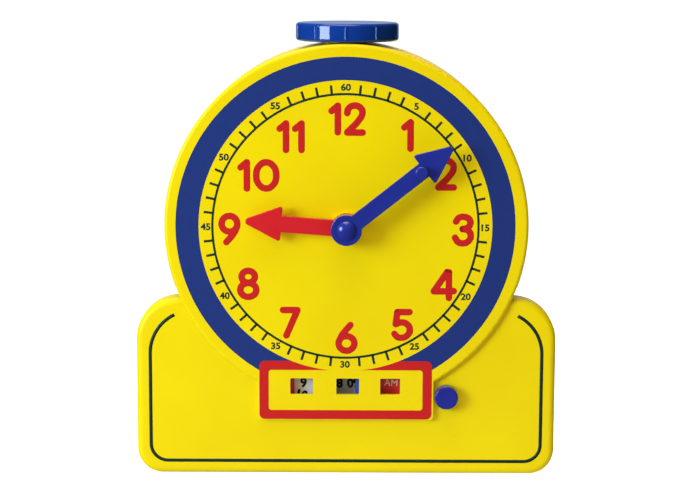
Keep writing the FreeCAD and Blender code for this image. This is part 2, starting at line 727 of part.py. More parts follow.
def rearShell():
    body = newBody("rear_shell")
    radius = "caseRadius - rearStep"
    drum = post(body, "RearDrum", "0", "dialHeight", radius, "parting", "caseDepth")
    roundEdges(body, "RearDrumRound", drum, "drumRound", atDepth("caseDepth"))
    back = "caseDepth - rearSetback"
    loft(body, "AdditiveLoft", "RearBase",
         [rearSection(body, "RearNear", "parting", "rearInset"),
          rearSection(body, "RearFar", back + " - rearBevel", "rearInset + rearNarrowing"),
          rearSection(body, "RearBack", back, "rearInset + rearNarrowing + rearBevel")])
    bore(body, "RearDrumCavity", radius + " - wall", "parting", "caseDepth - wall", "0", "dialHeight")
    loft(body, "SubtractiveLoft", "RearBaseCavity",
         [rearSection(body, "RearNearInside", "parting", "rearInset", "wall"),
          rearSection(body, "RearFarInside", back + " - wall", "rearInset + rearNarrowing", "wall")])
    for index, (x, z) in enumerate(caseScrewPlaces):
        post(body, "CaseTube%d" % index, x, z, "bossRadius", "parting", back + " - bossRise")
        bore(body, "CaseHole%d" % index, "caseScrewRadius + clearance", "parting - over",
             "caseHeadSeat + over", x, z)
        bore(body, "CaseRecess%d" % index, "caseHeadRadius + clearance", "caseHeadSeat", "caseDepth + over",
             x, z)
    for index, (x, z) in enumerate(bridgeScrewPlaces):
        post(body, "BridgePost%d" % index, x, z, "bridgePostRadius", "bridgeBack",
             "caseDepth - wall + bossRise")
        bore(body, "BridgePilot%d" % index, "screwRadius + press", "bridgeBack - over",
             "bridgeFront + bridgeScrewLength + over", x, z)
    seat = circleSketch(body, "SeatCircle", "seatBottom", "seatRadius", "0", "knobDepth", "XY_Plane")
    pad(body, "KnobSeat", seat, "seatDepth")
    hole = circleSketch(body, "BushHole", "seatBottom - over", "bushRadius + press", "0", "knobDepth",
                        "XY_Plane")
    cut(body, "BushBore", hole, "seatDepth + 2 * over")


def bearingBridge():
    body = newBody("bearing_bridge")
    plate = plateSketch(body, "BridgeOutline", "bridgeFront", "bridgeWidth", "dialHeight - bridgeLow",
                        "dialHeight + bridgeHigh", "bridgeCorner", "bridgeCorner")
    pad(body, "BridgePlate", plate, "bridgePlate")
    post(body, "ArborBoss", "0", "dialHeight", "bridgeBossRadius", "bridgeFront - bridgeBoss",
         "bridgeFront + over")
    for name, height in {"LowerShelf": "lowerShelf", "UpperShelf": "upperShelf"}.items():
        shelf = plateSketch(body, name + "Outline", height, "shelfWidth", "shelfFront", "bridgeFront + over",
                            "shelfWidth / 2 - over", "edgeRound", "0", "XY_Plane")
        pad(body, name, shelf, "shelfThickness")
    bore(body, "ArborBore", "arborRadius + running", "bridgeFront - bridgeBoss - over", "bridgeBack + over",
         "0", "dialHeight")
    hole = circleSketch(body, "ShaftHole", "lowerShelf - over", "shaftRadius + running", "0", "knobDepth",
                        "XY_Plane")
    cut(body, "ShaftBore", hole, "upperShelf + shelfThickness - lowerShelf + 2 * over")
    for index, (x, z) in enumerate(bridgeScrewPlaces):
        bore(body, "BridgeHole%d" % index, "screwRadius + running", "bridgeFront - over",
             "bridgeBack + over", x, z)


def knobBush():
    body = newBody("knob_bush", depth="knobDepth")
    flange = circleSketch(body, "FlangeCircle", "seatBottom - bushFlange", "bushFlangeRadius",
                          plane="XY_Plane")
    pad(body, "BushFlange", flange, "bushFlange")
    pad(body, "BushSleeve", circleSketch(body, "SleeveCircle", "seatBottom", "bushRadius", plane="XY_Plane"),
        "seatDepth + bushRise")
    hole = circleSketch(body, "ShaftHole", "seatBottom - bushFlange - over", "shaftRadius + running",
                        plane="XY_Plane")
    cut(body, "ShaftBore", hole, "bushFlange + seatDepth + bushRise + 2 * over")


# Screws.

def cylinder(name, radius, length, x, z, depth):
    """Round bar that starts at this depth and runs to the back."""
    bar = doc.addObject("Part::Cylinder", name)
    bar.Placement = FreeCAD.Placement(vector(0, 0, 0), FreeCAD.Rotation(vector(1, 0, 0), -90))
    bind(bar, "Radius", radius)
    bind(bar, "Height", length)
    bind(bar, "Placement.Base.x", x)
    bind(bar, "Placement.Base.y", "dialPlane + " + depth)
    bind(bar, "Placement.Base.z", z)
    return bar


def screw(name, x, z, seat, headRadius, headHeight, shankRadius, shankLength, fromBehind=True):
    """Pan-head screw: its head rests on the seat and its shank goes the other way."""
    headStart = seat if fromBehind else "%s - %s" % (seat, headHeight)
    shankStart = "%s - (%s)" % (seat, shankLength) if fromBehind else seat
    whole = doc.addObject("Part::Fuse", name)
    whole.Base = cylinder(name + "Head", headRadius, headHeight, x, z, headStart)
    whole.Tool = cylinder(name + "Shank", shankRadius, shankLength, x, z, shankStart)
    return whole


def fastenerSet(label, screws):
    """The same fasteners of one joint share a sub-part."""
    together = doc.addObject("Part::Compound", label)
    together.Label = label
    together.Links = screws
    parts.append(together)


def fasteners():
    fastenerSet("case_screws", [screw("CaseScrew%d" % index, x, z, "caseHeadSeat", "caseHeadRadius",
                                      "caseHeadHeight", "caseScrewRadius", "caseScrewLength")
                                for index, (x, z) in enumerate(caseScrewPlaces)])
    fastenerSet("gear_screws", [screw(name + "Screw", x, z, top, radius + " + screwHeadRim",
                                      "screwHeadHeight", "screwRadius", "screwLength")
                                for name, (x, z, radius, _, _, _, top) in gearPosts.items()])
    fastenerSet("bridge_screws", [screw("BridgeScrew%d" % index, x, z, "bridgeFront",
                                        "screwRadius + screwHeadRim", "screwHeadHeight", "screwRadius",
                                        "bridgeScrewLength", False)
                                  for index, (x, z) in enumerate(bridgeScrewPlaces)])
    fastenerSet("disc_screws", [screw("DiscScrew%d" % angle, "clampCircle * cos(%d)" % angle,
                                      "dialHeight + clampCircle * sin(%d)" % angle, "crownBack",
                                      "screwRadius + screwHeadRim / 2", "screwHeadHeight", "screwRadius",
                                      "crownBack - minuteDiscLevel + flangeThickness - clearance")
                                for angle in (90, 210, 330)])


# Hands and their works.

def clampHoles(body, name, start, end, radius):
    """Three holes about the arbor for the screws of the minute disc."""
    first = bore(body, name, radius, start, end, "0", "clampCircle")
    repeat(body, name + "Three", first, "Y_Axis", "3")


def minuteArbor():
    body = newBody("minute_arbor", z="dialHeight", turn=turnTo(arborAngle))
    post(body, "Shaft", "0", "0", "arborRadius", "-hubBack", "arborEnd")
    post(body, "Nose", "0", "0", "noseRadius", "-minuteHandReach + plugLength + running", "-hubBack")
    addGear(body, "Pinion", "reductionLevel", "gearWidth", "arborTeeth")
    post(body, "Flange", "0", "0", "flangeRadius", "minuteDiscLevel - flangeThickness", "minuteDiscLevel")
    clampHoles(body, "FlangeHole", "minuteDiscLevel - flangeThickness - over", "minuteDiscLevel + over",
               "screwRadius + press")


def minuteDisc():
    body = newBody("minute_disc", z="dialHeight")
    post(body, "Disc", "0", "0", "minuteDiscRadius", "minuteDiscLevel", "clampLevel")
    bore(body, "ArborHole", "arborRadius + press", "minuteDiscLevel - over", "clampLevel + over")
    clampHoles(body, "DiscHole", "minuteDiscLevel - over", "clampLevel + over", "screwRadius + running")


def crownWheel():
    body = newBody("crown_wheel", z="dialHeight")
    post(body, "Hub", "0", "0", "clampRadius", "clampLevel", "crownBack")
    post(body, "Plate", "0", "0", "crownCircle + crownFace / 2", "crownFront", "crownBack")
    width = "pi * gearModule / 2 - toothPlay"
    foot = "(dedendum + clearance) * gearModule"
    tip = "addendum * gearModule"
    flanks = trapezoidSketch(body, "CrownFlanks", "crownCircle - crownFace / 2", "crownPitch - " + foot,
                             "crownPitch + " + tip, "%s + 2 * %s * tan(pressureAngle)" % (width, foot),
                             "%s - 2 * %s * tan(pressureAngle)" % (width, tip), "0", "XY_Plane")
    tooth = pad(body, "CrownTooth", flanks, "crownFace")
    repeat(body, "CrownTeeth", tooth, "Y_Axis", "crownTeeth")
    bore(body, "ArborHole", "arborRadius + press", "clampLevel - over", "crownBack + over")
    clampHoles(body, "CrownHole", "clampLevel - over", "crownBack + over", "screwRadius + running")


def addArrow(body, front, headBack, length):
    """Flat arrow that points up from the hub: a straight shaft and a triangular head."""
    pad(body, "Shaft", barSketch(body, "ShaftOutline", front, "-shaftWidth / 2", "shaftWidth / 2", "0",
                                 headBack + " + over"), "handThickness")
    outline = trapezoidSketch(body, "HeadOutline", front, headBack, length, "headWidth", "tipWidth")
    head = pad(body, "Head", outline, "handThickness")
    low = number(headBack) - 0.01
    neck = number("shaftWidth") / 2
    roundEdges(body, "HeadRound", head, "cornerRound",
               lambda box: box.YLength > 1 and box.ZMin > low and abs(abs(box.XMin) - neck) > 0.1)


def minuteHand():
    body = newBody("minute_hand", z="dialHeight", turn=number("shownMinute") * 6)
    addArrow(body, "-minuteHandReach", "minuteHeadBack", "minuteHandLength")
    hub = post(body, "Hub", "0", "0", "hubRadius", "-minuteHandReach", "-hubBack")
    roundEdges(body, "OutlineRound", hub, "edgeRound", atDepth("-minuteHandReach"))
    front = "-minuteHandReach - pegHeight"
    peg = post(body, "Peg", "0", "pegDistance", "pegRadius", front, "-minuteHandReach + over")
    roundEdges(body, "PegRound", peg, "pegRound", atDepth(front))
    bore(body, "NoseHole", "noseRadius + press", "-minuteHandReach + over", "-hubBack + over")
    bore(body, "PlugHole", "plugRadius + press", "-minuteHandReach - over",
         "-minuteHandReach + plugLength + running")


def hubCap():
    body = newBody("hub_cap", z="dialHeight")
    rim = "-minuteHandReach - capWall"
    crown = turnedSketch(body, "Crown", "-minuteHandReach - capHeight", rim, "-minuteHandReach", "capRadius")
    roundEdges(body, "RimRound", turned(body, "Revolution", "Cap", crown), "edgeRound", atDepth(rim))
    post(body, "Plug", "0", "0", "plugRadius", "-minuteHandReach", "-minuteHandReach + plugLength")


def hourWheel():
    body = newBody("hour_wheel", z="dialHeight", turn=turnTo(hourAngle))
    addGear(body, "Wheel", "hourLevel", "gearWidth", "hourTeeth")
    post(body, "Pipe", "0", "0", "pipeRadius", "-hourHubBack", "hourLevel")
    post(body, "Sleeve", "0", "0", "sleeveRadius", "-hourHandReach", "-hourHubBack")
    bore(body, "ArborBore", "arborRadius + running", "-hourHandReach - over",
         "hourLevel + gearWidth + over")


def hourHand():
    body = newBody("hour_hand", z="dialHeight", turn=number("shownHour") * 30)
    addArrow(body, "-hourHandReach", "hourHeadBack", "hourHandLength")
    hub = post(body, "Hub", "0", "0", "hubRadius", "-hourHandReach", "-hourHubBack")
    roundEdges(body, "OutlineRound", hub, "edgeRound", atDepth("-hourHandReach"))
    bore(body, "SleeveHole", "sleeveRadius + press", "-hourHandReach - over", "-hourHubBack + over")


# Gear train and discs.

def reductionGear():
    body = newBody("reduction_gear", z="reductionHeight", turn=turnTo(reductionAngle))
    addGear(body, "Wheel", "reductionLevel", "gearWidth", "reductionTeeth")
    pad(body, "PinionBlank", circleSketch(body, "PinionRoot", "hourLevel",
                                          "pinionTeeth * gearModule / 2 - dedendum * gearModule"),
        "reductionLevel - hourLevel")
    flanks = toothSketch(body, "PinionFlanks", "hourLevel", "pinionTeeth", "gearModule", "XZ_Plane")
    ahead = FreeCAD.Rotation(vector(0, 0, 1), pinionAngle - reductionAngle)
    flanks.AttachmentOffset = FreeCAD.Placement(flanks.AttachmentOffset.Base, ahead)
    tooth = pad(body, "PinionTooth", flanks, "reductionLevel - hourLevel")
    repeat(body, "PinionTeeth", tooth, "Y_Axis", "pinionTeeth")
    bore(body, "PostBore", "slimPostRadius + running", "hourLevel - over",
         "reductionLevel + gearWidth + over")


def simpleGear(label, x, z, angle, level, width, teeth, axle):
    """One toothed wheel that turns on its post."""
    body = newBody(label, x, z, turn=turnTo(angle))
    addGear(body, "Wheel", level, width, teeth)
    bore(body, "PostBore", axle + " + running", level + " - over", "%s + %s + over" % (level, width))


def gearTrain():
    reductionGear()
    simpleGear("upper_idler", "upperIdlerX", "upperIdlerZ", upperAngle, "hourLevel", "gearWidth",
               "upperIdlerTeeth", "postRadius")
    simpleGear("lower_idler", "lowerIdlerX", "lowerIdlerZ", lowerAngle, "hourLevel", "(discBack - hourLevel)",
               "lowerIdlerTeeth", "postRadius")
    simpleGear("hour_disc", "hourDiscX", "discHeight", hourDiscAngle, "discLevel", "discThickness",
               "discTeeth", "discPostRadius")
    simpleGear("link_idler_left", "leftLinkX", "linkHeight", leftLinkAngle, "discLevel", "discThickness",
               "linkTeeth", "linkPostRadius")
    simpleGear("link_idler_right", "rightLinkX", "linkHeight", rightLinkAngle, "discLevel", "discThickness",
               "linkTeeth", "linkPostRadius")
    simpleGear("am_pm_disc", "noonDiscX", "discHeight", noonDiscAngle, "discLevel", "discThickness",
               "discTeeth", "discPostRadius")


# Top knob.

# half a tooth, so that a gap of the drive pinion faces the crown wheel's top tooth
driveTurn = 180 / number("driveTeeth")


def topKnob():
    body = newBody("top_knob", depth="knobDepth", turn=number("knobTurn"), axis=(0, 0, 1))
    disc = pad(body, "Disc", circleSketch(body, "DiscCircle", "knobBottom", "knobRadius", plane="XY_Plane"),
               "knobHeight")
    roundEdges(body, "DiscRound", disc, "knobRound", lambda box: box.ZLength < 0.01)
    inside = circleSketch(body, "InsideCircle", "knobBottom - over", "knobRadius - knobWall",
                          plane="XY_Plane")
    cut(body, "Inside", inside, "knobHeight - knobWall + over")
    pad(body, "Hub", circleSketch(body, "HubCircle", "knobBottom", "knobHub", plane="XY_Plane"),
        "knobHeight - knobWall + over")
    hole = circleSketch(body, "ShaftHole", "knobBottom - over", "shaftRadius + press", plane="XY_Plane")
    cut(body, "ShaftBore", hole, "shaftTop - knobBottom + over + running")
    outline = circleSketch(body, "RibCircle", "knobBottom + knobRound", "ribRadius", "0",
                           "ribSink - knobRadius", "XY_Plane")
    rib = pad(body, "Rib", outline, "knobHeight - 2 * knobRound")
    repeat(body, "Ribs", rib, "Z_Axis", "ribCount")


def knobShaft():
    body = newBody("knob_shaft", depth="knobDepth", turn=driveTurn, axis=(0, 0, 1))
    pad(body, "Shaft", circleSketch(body, "ShaftCircle", "shaftBottom", "shaftRadius", plane="XY_Plane"),
        "shaftTop - shaftBottom")
    bore(body, "PinHole", "pinRadius + press", "-shaftRadius - over", "shaftRadius + over", "0", "pinHeight")


def shaftClip():
    body = newBody("shaft_clip", depth="knobDepth")
    level = "seatBottom - bushFlange - clearance - clipThickness"
    ring = circleSketch(body, "RingCircle", level, "clipRadius", plane="XY_Plane")
    pad(body, "Ring", ring, "clipThickness")
    hole = circleSketch(body, "RingHole", level + " - over", "shaftRadius + press", plane="XY_Plane")
    cut(body, "RingBore", hole, "clipThickness + 2 * over")


def drivePinion():
    body = newBody("drive_pinion", depth="knobDepth", turn=driveTurn, axis=(0, 0, 1))
    addGear(body, "Pinion", "driveMiddle - driveFace / 2", "driveFace", "driveTeeth", plane="XY_Plane")
    pad(body, "Hub", circleSketch(body, "HubCircle", "driveBottom", "driveHubRadius", plane="XY_Plane"),
        "driveHub")
    hole = circleSketch(body, "ShaftHole", "driveBottom - over", "shaftRadius + press", plane="XY_Plane")
    cut(body, "ShaftBore", hole, "driveHub + 2 * over")
    bore(body, "PinHole", "pinRadius + press", "-driveHubRadius - over", "driveHubRadius + over", "0",
         "pinHeight")


def pinionPin():
    body = newBody("pinion_pin", depth="knobDepth", turn=driveTurn, axis=(0, 0, 1))
    post(body, "Pin", "0", "pinHeight", "pinRadius", "-driveHubRadius", "driveHubRadius")


# Shutter.

def shutterKnob():
    body = newBody("shutter_knob", "shutterKnobX", "shutterKnobZ")
    grip = post(body, "Grip", "0", "0", "shutterKnobRadius", "-shutterKnobReach", "faceStep - clearance")
    roundEdges(body, "GripRound", grip, "shutterKnobRound", atDepth("-shutterKnobReach"))
    dish = turnedSketch(body, "DishOutline", "-shutterKnobReach + dishDepth", "-shutterKnobReach",
                        "-shutterKnobReach - over", "dishRadius")
    turned(body, "Groove", "Dish", dish)
    post(body, "Stem", "0", "0", "stemRadius", "faceStep - clearance", "shutterLevel - running")
    bore(body, "ScrewHole", "screwRadius + press", "shutterLevel - screwLength", "shutterLevel + over")


def shutterPinion():
    body = newBody("shutter_pinion", "shutterKnobX", "shutterKnobZ")
    addGear(body, "Pinion", "shutterLevel - running", "shutterThickness + 2 * running", "shutterTeeth",
            "rackModule")
    bore(body, "ScrewHole", "screwRadius + press", "shutterLevel - over",
         "shutterLevel + shutterThickness + over")


def pinionScrew():
    whole = screw("pinion_screw", "shutterKnobX", "shutterKnobZ", "shutterLevel + shutterThickness + running",
                  "screwRadius + screwHeadRim", "lipThickness", "screwRadius", "screwLength")
    whole.Label = "pinion_screw"
    parts.append(whole)


def shutterSlide():
    body = newBody("shutter_slide")
    pad(body, "Plate", barSketch(body, "PlateOutline", "shutterLevel", "shutterLeft", "shutterRight",
                                 "shutterBottom", "shutterTop"), "shutterThickness")
    pad(body, "Arm", barSketch(body, "ArmOutline", "shutterLevel", "shutterRight - over", "armRight",
                               "shutterBottom", "rackRoot"), "shutterThickness")
    slots = {"HourSlot": ("hourSlotLeft", "hourSlotRight"),
             "MinuteSlot": ("minuteSlotLeft", "minuteSlotRight")}
    for name, (left, right) in slots.items():
        outline = barSketch(body, name + "Outline", "shutterLevel - over", left, right, "slotBottom",
                            "slotTop")
        cut(body, name, outline, "shutterThickness + 2 * over")
    width = "pi * rackModule / 2 - toothPlay * rackModule / gearModule"
    foot = "(dedendum + clearance) * rackModule"
    tip = "addendum * rackModule"
    flanks = trapezoidSketch(body, "RackFlanks", "shutterLevel", "rackLine - " + foot, "rackLine + " + tip,
                             "%s + 2 * %s * tan(pressureAngle)" % (width, foot),
                             "%s - 2 * %s * tan(pressureAngle)" % (width, tip), "rackStart")
    tooth = pad(body, "RackTooth", flanks, "shutterThickness")
    rack = body.newObject("PartDesign::LinearPattern", "Rack")
    rack.Originals = [tooth]
    rack.Direction = (originFeature(body, "X_Axis"), [""])
    bind(rack, "Length", "(rackTeeth - 1) * pi * rackModule")
    bind(rack, "Occurrences", "rackTeeth")
    body.Tip = rack
    doc.recompute()


# Build, check and write.

for build in (frontShell, rearShell, bearingBridge, knobBush, fasteners, minuteArbor, minuteDisc, crownWheel,
              minuteHand, hubCap, hourWheel, hourHand, gearTrain, topKnob, knobShaft, shaftClip, drivePinion,
              pinionPin, shutterKnob, shutterPinion, pinionScrew, shutterSlide):
    build()
doc.recompute()

for item in doc.Objects:
    if "Invalid" in item.State or "Error" in item.State:
        raise RuntimeError("%s failed: %s" % (item.Label, item.State))
for item in parts:
    if item.Shape.isNull() or not item.Shape.isValid() or not item.Shape.Solids:
        raise RuntimeError(item.Label + " is not a valid solid")

os.makedirs("parts", exist_ok=True)
whole = FreeCAD.BoundBox()
for item in parts:
    item.Shape.exportStep("parts/%s.step" % item.Label)
    whole.add(item.Shape.optimalBoundingBox(False, False))
    print("%-18s %2d solids %10.1f mm3" % (item.Label, len(item.Shape.Solids), item.Shape.Volume))
print("X %.2f to %.2f, Y %.2f to %.2f, Z %.2f to %.2f"
      % (whole.XMin, whole.XMax, whole.YMin, whole.YMax, whole.ZMin, whole.ZMax))
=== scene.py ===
import json
import math
import bpy
from mathutils import Matrix, Vector


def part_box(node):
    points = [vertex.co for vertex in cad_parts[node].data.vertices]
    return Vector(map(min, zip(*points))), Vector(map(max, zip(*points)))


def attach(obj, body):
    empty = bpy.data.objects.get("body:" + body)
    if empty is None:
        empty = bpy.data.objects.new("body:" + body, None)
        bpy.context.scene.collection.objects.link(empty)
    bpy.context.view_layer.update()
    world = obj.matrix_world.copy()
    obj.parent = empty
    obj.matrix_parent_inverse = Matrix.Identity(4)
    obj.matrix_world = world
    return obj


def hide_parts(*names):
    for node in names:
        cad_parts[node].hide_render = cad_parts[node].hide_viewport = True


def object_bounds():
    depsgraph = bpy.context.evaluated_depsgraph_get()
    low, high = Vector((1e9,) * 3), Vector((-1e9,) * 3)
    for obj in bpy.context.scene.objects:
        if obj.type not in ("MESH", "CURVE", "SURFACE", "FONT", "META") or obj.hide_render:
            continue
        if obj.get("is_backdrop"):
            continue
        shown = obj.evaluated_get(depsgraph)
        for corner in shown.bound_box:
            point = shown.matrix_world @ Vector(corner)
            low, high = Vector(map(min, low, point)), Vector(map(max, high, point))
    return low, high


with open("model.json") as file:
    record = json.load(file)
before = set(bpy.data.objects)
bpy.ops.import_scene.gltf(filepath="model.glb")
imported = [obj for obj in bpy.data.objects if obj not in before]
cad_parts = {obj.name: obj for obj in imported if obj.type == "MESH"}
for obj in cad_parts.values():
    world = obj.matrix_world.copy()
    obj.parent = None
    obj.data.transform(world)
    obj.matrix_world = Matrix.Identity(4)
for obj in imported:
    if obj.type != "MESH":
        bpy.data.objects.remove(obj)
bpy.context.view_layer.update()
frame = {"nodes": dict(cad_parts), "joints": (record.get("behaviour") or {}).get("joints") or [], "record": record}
nodes = frame["nodes"]
print("loaded", len(nodes), "solids")

# The clock's sizes are in mm, and the studio's in metres. X runs right, Z up and Y back from the viewer, so a
# face that looks forward is given by its Y.
mm = 0.001
joints = {joint["name"]: joint["pos_m"] for joint in frame["joints"] if "pos_m" in joint}


def axisOf(jointName):
    return joints[jointName][0] / mm, joints[jointName][2] / mm


def frontOf(nodeName):
    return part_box(nodeName)[0].y / mm


dialCentre = axisOf("minute_turn")
dialFace = joints["shutter_knob_turn"][1] / mm  # the small knob's joint stands in the dial's plane
baseStep = 3.5  # the base's face lies this far behind the dial
baseFace = dialFace + baseStep


# sRGB hex to the linear colour that a shader socket takes
def linear(hexColour):
    parts = [int(hexColour[i:i + 2], 16) / 255 for i in (1, 3, 5)]
    parts = [part / 12.92 if part <= 0.04045 else ((part + 0.055) / 1.055) ** 2.4 for part in parts]
    return (*parts, 1.0)


# scale of a pattern whose grain is this many mm long
def patternScale(size):
    return 1 / (size * mm)


# one shader node, with its settings, and with a value or a link for each named input
def addNode(tree, kind, inputs, **settings):
    node = tree.nodes.new("ShaderNode" + kind)
    for key, value in settings.items():
        setattr(node, key, value)
    for key, value in inputs.items():
        if isinstance(value, bpy.types.NodeSocket):
            tree.links.new(value, node.inputs[key])
        else:
            node.inputs[key].default_value = value
    return node


def startMaterial(name):
    material = bpy.data.materials.new(name)
    material.use_nodes = True
    material.node_tree.nodes.clear()
    return material, material.node_tree


def finishMaterial(tree, inputs):
    surface = addNode(tree, "BsdfPrincipled", inputs)
    addNode(tree, "OutputMaterial", {"Surface": surface.outputs["BSDF"]})


mouldedPlastic = {
    "ior": 1.53,
    "grainSize": 1.11,  # the mould's spark-eroded grain is 0.1 mm; drawn this coarse, or the render loses it
    "grainDepth": 0.02,
    "grainStrength": 0.35,
    "flowSize": 71.4,  # slow waves, where the melt flowed from the gate
    "handledSize": 22.2,  # patches that hands have made smoother or duller
    "handledSheen": (-0.03, 0.04),  # what the patches add to the roughness
    "wearRadius": 0.6,  # how far the paler rub reaches in from an edge
    "wearTurn": (0.99, 0.8),  # cosine of the turn within that reach, where the rub begins and is full
    "wearMost": 0.5,
}


# ABS, injection moulded: even strong colour, satin skin, edges rubbed paler by children's hands
def mouldedAbs(name, colour, pale, dark, roughness, gloss, grain):
    form = mouldedPlastic
    material, tree = startMaterial(name)
    place = addNode(tree, "TexCoord", {}).outputs["Object"]
    flow = addNode(tree, "TexNoise", {"Vector": place, "Scale": patternScale(form["flowSize"]),
                                      "Detail": 3.0})
    drift = addNode(tree, "MapRange", {"Value": flow.outputs["Fac"], "From Min": 0.3, "From Max": 0.7})
    tone = addNode(tree, "MixRGB", {"Fac": drift.outputs["Result"], "Color1": linear(dark),
                                    "Color2": linear(colour)})
    rounded = addNode(tree, "Bevel", {"Radius": form["wearRadius"] * mm}, samples=4)
    normal = addNode(tree, "NewGeometry", {}).outputs["Normal"]
    facing = addNode(tree, "VectorMath", {0: rounded.outputs["Normal"], 1: normal}, operation="DOT_PRODUCT")
    edge = addNode(tree, "MapRange", {"Value": facing.outputs["Value"], "From Min": form["wearTurn"][0],
                                      "From Max": form["wearTurn"][1], "To Max": form["wearMost"]})
    rubbed = addNode(tree, "MixRGB", {"Fac": edge.outputs["Result"], "Color1": tone.outputs["Color"],
                                      "Color2": linear(pale)})
    handled = addNode(tree, "TexNoise", {"Vector": place, "Scale": patternScale(form["handledSize"]),
                                         "Detail": 2.0})
    sheen = addNode(tree, "MapRange", {"Value": handled.outputs["Fac"], "From Min": 0.3, "From Max": 0.7,
                                       "To Min": roughness + form["handledSheen"][0],
                                       "To Max": roughness + form["handledSheen"][1]})
    fine = addNode(tree, "TexNoise", {"Vector": place, "Scale": patternScale(form["grainSize"]),
                                      "Detail": 2.0})
    bump = addNode(tree, "Bump", {"Height": fine.outputs["Fac"], "Strength": form["grainStrength"] * grain,
                                  "Distance": form["grainDepth"] * mm})
    finishMaterial(tree, {"Base Color": rubbed.outputs["Color"], "Roughness": sheen.outputs["Result"],
                          "IOR": form["ior"], "Specular IOR Level": gloss, "Normal": bump.outputs["Normal"]})
    return material


screenPrint = {
    "roughness": 0.45,
    "gloss": 0.2,
    "ior": 1.5,
    "mottleSize": 3.85,
    "meshSize": 0.714,  # a real screen's mesh is 0.2 mm
    "meshDepth": 0.01,
    "meshStrength": 0.08,
}


# screen-printed ink: a thin even film with a dull shine and the screen's faint mottle
def screenInk(name, colour, dark):
    material, tree = startMaterial(name)
    place = addNode(tree, "TexCoord", {}).outputs["Object"]
    cover = addNode(tree, "TexNoise", {"Vector": place, "Scale": patternScale(screenPrint["mottleSize"]),
                                       "Detail": 3.0})
    tone = addNode(tree, "MixRGB", {"Fac": cover.outputs["Fac"], "Color1": linear(dark),
                                    "Color2": linear(colour)})
    mesh = addNode(tree, "TexVoronoi", {"Vector": place, "Scale": patternScale(screenPrint["meshSize"])})
    bump = addNode(tree, "Bump", {"Height": mesh.outputs["Distance"], "Strength": screenPrint["meshStrength"],
                                  "Distance": screenPrint["meshDepth"] * mm})
    finishMaterial(tree, {"Base Color": tone.outputs["Color"], "Roughness": screenPrint["roughness"],
                          "IOR": screenPrint["ior"], "Specular IOR Level": screenPrint["gloss"],
                          "Normal": bump.outputs["Normal"]})
    return material


metalLines = {"pale": "#D2D3D4", "sheen": (-0.08, 0.1), "depth": 0.02, "strength": 0.15}


# steel, zinc plated or drawn: grey metal with the fine lines that turning or drawing leaves, each as long in
# X, Y and Z as lines says
def steel(name, colour, roughness, lines):
    material, tree = startMaterial(name)
    place = addNode(tree, "TexCoord", {}).outputs["Object"]
    drawn = addNode(tree, "Mapping", {"Vector": place, "Scale": [patternScale(size) for size in lines]})
    streaks = addNode(tree, "TexNoise", {"Vector": drawn.outputs["Vector"], "Scale": 1.0, "Detail": 3.0})
    tone = addNode(tree, "MixRGB", {"Fac": streaks.outputs["Fac"], "Color1": linear(colour),
                                    "Color2": linear(metalLines["pale"])})
    sheen = addNode(tree, "MapRange", {"Value": streaks.outputs["Fac"],
                                       "To Min": roughness + metalLines["sheen"][0],
                                       "To Max": roughness + metalLines["sheen"][1]})
    bump = addNode(tree, "Bump", {"Height": streaks.outputs["Fac"], "Strength": metalLines["strength"],
                                  "Distance": metalLines["depth"] * mm})
    finishMaterial(tree, {"Base Color": tone.outputs["Color"], "Metallic": 1.0,
                          "Roughness": sheen.outputs["Result"], "Normal": bump.outputs["Normal"]})
    return material


naturalAcetal = {
    "dark": "#DCDBD3",
    "pale": "#EFEEE8",
    "roughness": 0.38,
    "ior": 1.48,
    "cloudSize": 16.7,
    "grainSize": 0.833,
    "grainDepth": 0.01,
    "grainStrength": 0.2,
    "glowWeight": 0.15,
    "glowReach": (2.0, 2.0, 1.8),  # how far red, green and blue light spread inside
}


# acetal, undyed and moulded: milky white and waxy, and a little light goes into it
def acetal(name):
    form = naturalAcetal
    material, tree = startMaterial(name)
    place = addNode(tree, "TexCoord", {}).outputs["Object"]
    cloud = addNode(tree, "TexNoise", {"Vector": place, "Scale": patternScale(form["cloudSize"]),
                                       "Detail": 3.0})
    tone = addNode(tree, "MixRGB", {"Fac": cloud.outputs["Fac"], "Color1": linear(form["dark"]),
                                    "Color2": linear(form["pale"])})
    fine = addNode(tree, "TexNoise", {"Vector": place, "Scale": patternScale(form["grainSize"])})
    bump = addNode(tree, "Bump", {"Height": fine.outputs["Fac"], "Strength": form["grainStrength"],
                                  "Distance": form["grainDepth"] * mm})
    finishMaterial(tree, {"Base Color": tone.outputs["Color"], "Roughness": form["roughness"],
                          "IOR": form["ior"], "Subsurface Weight": form["glowWeight"],
                          "Subsurface Radius": [reach * mm for reach in form["glowReach"]],
                          "Normal": bump.outputs["Normal"]})
    return material


styreneSheet = {
    "ior": 1.55,
    "dustSize": 5.56,
    "dustVeil": (0.9, 1.06),  # darkest and palest share of the colour that the dust leaves
    "dustDepth": 0.02,
    "dustStrength": 0.1,
}


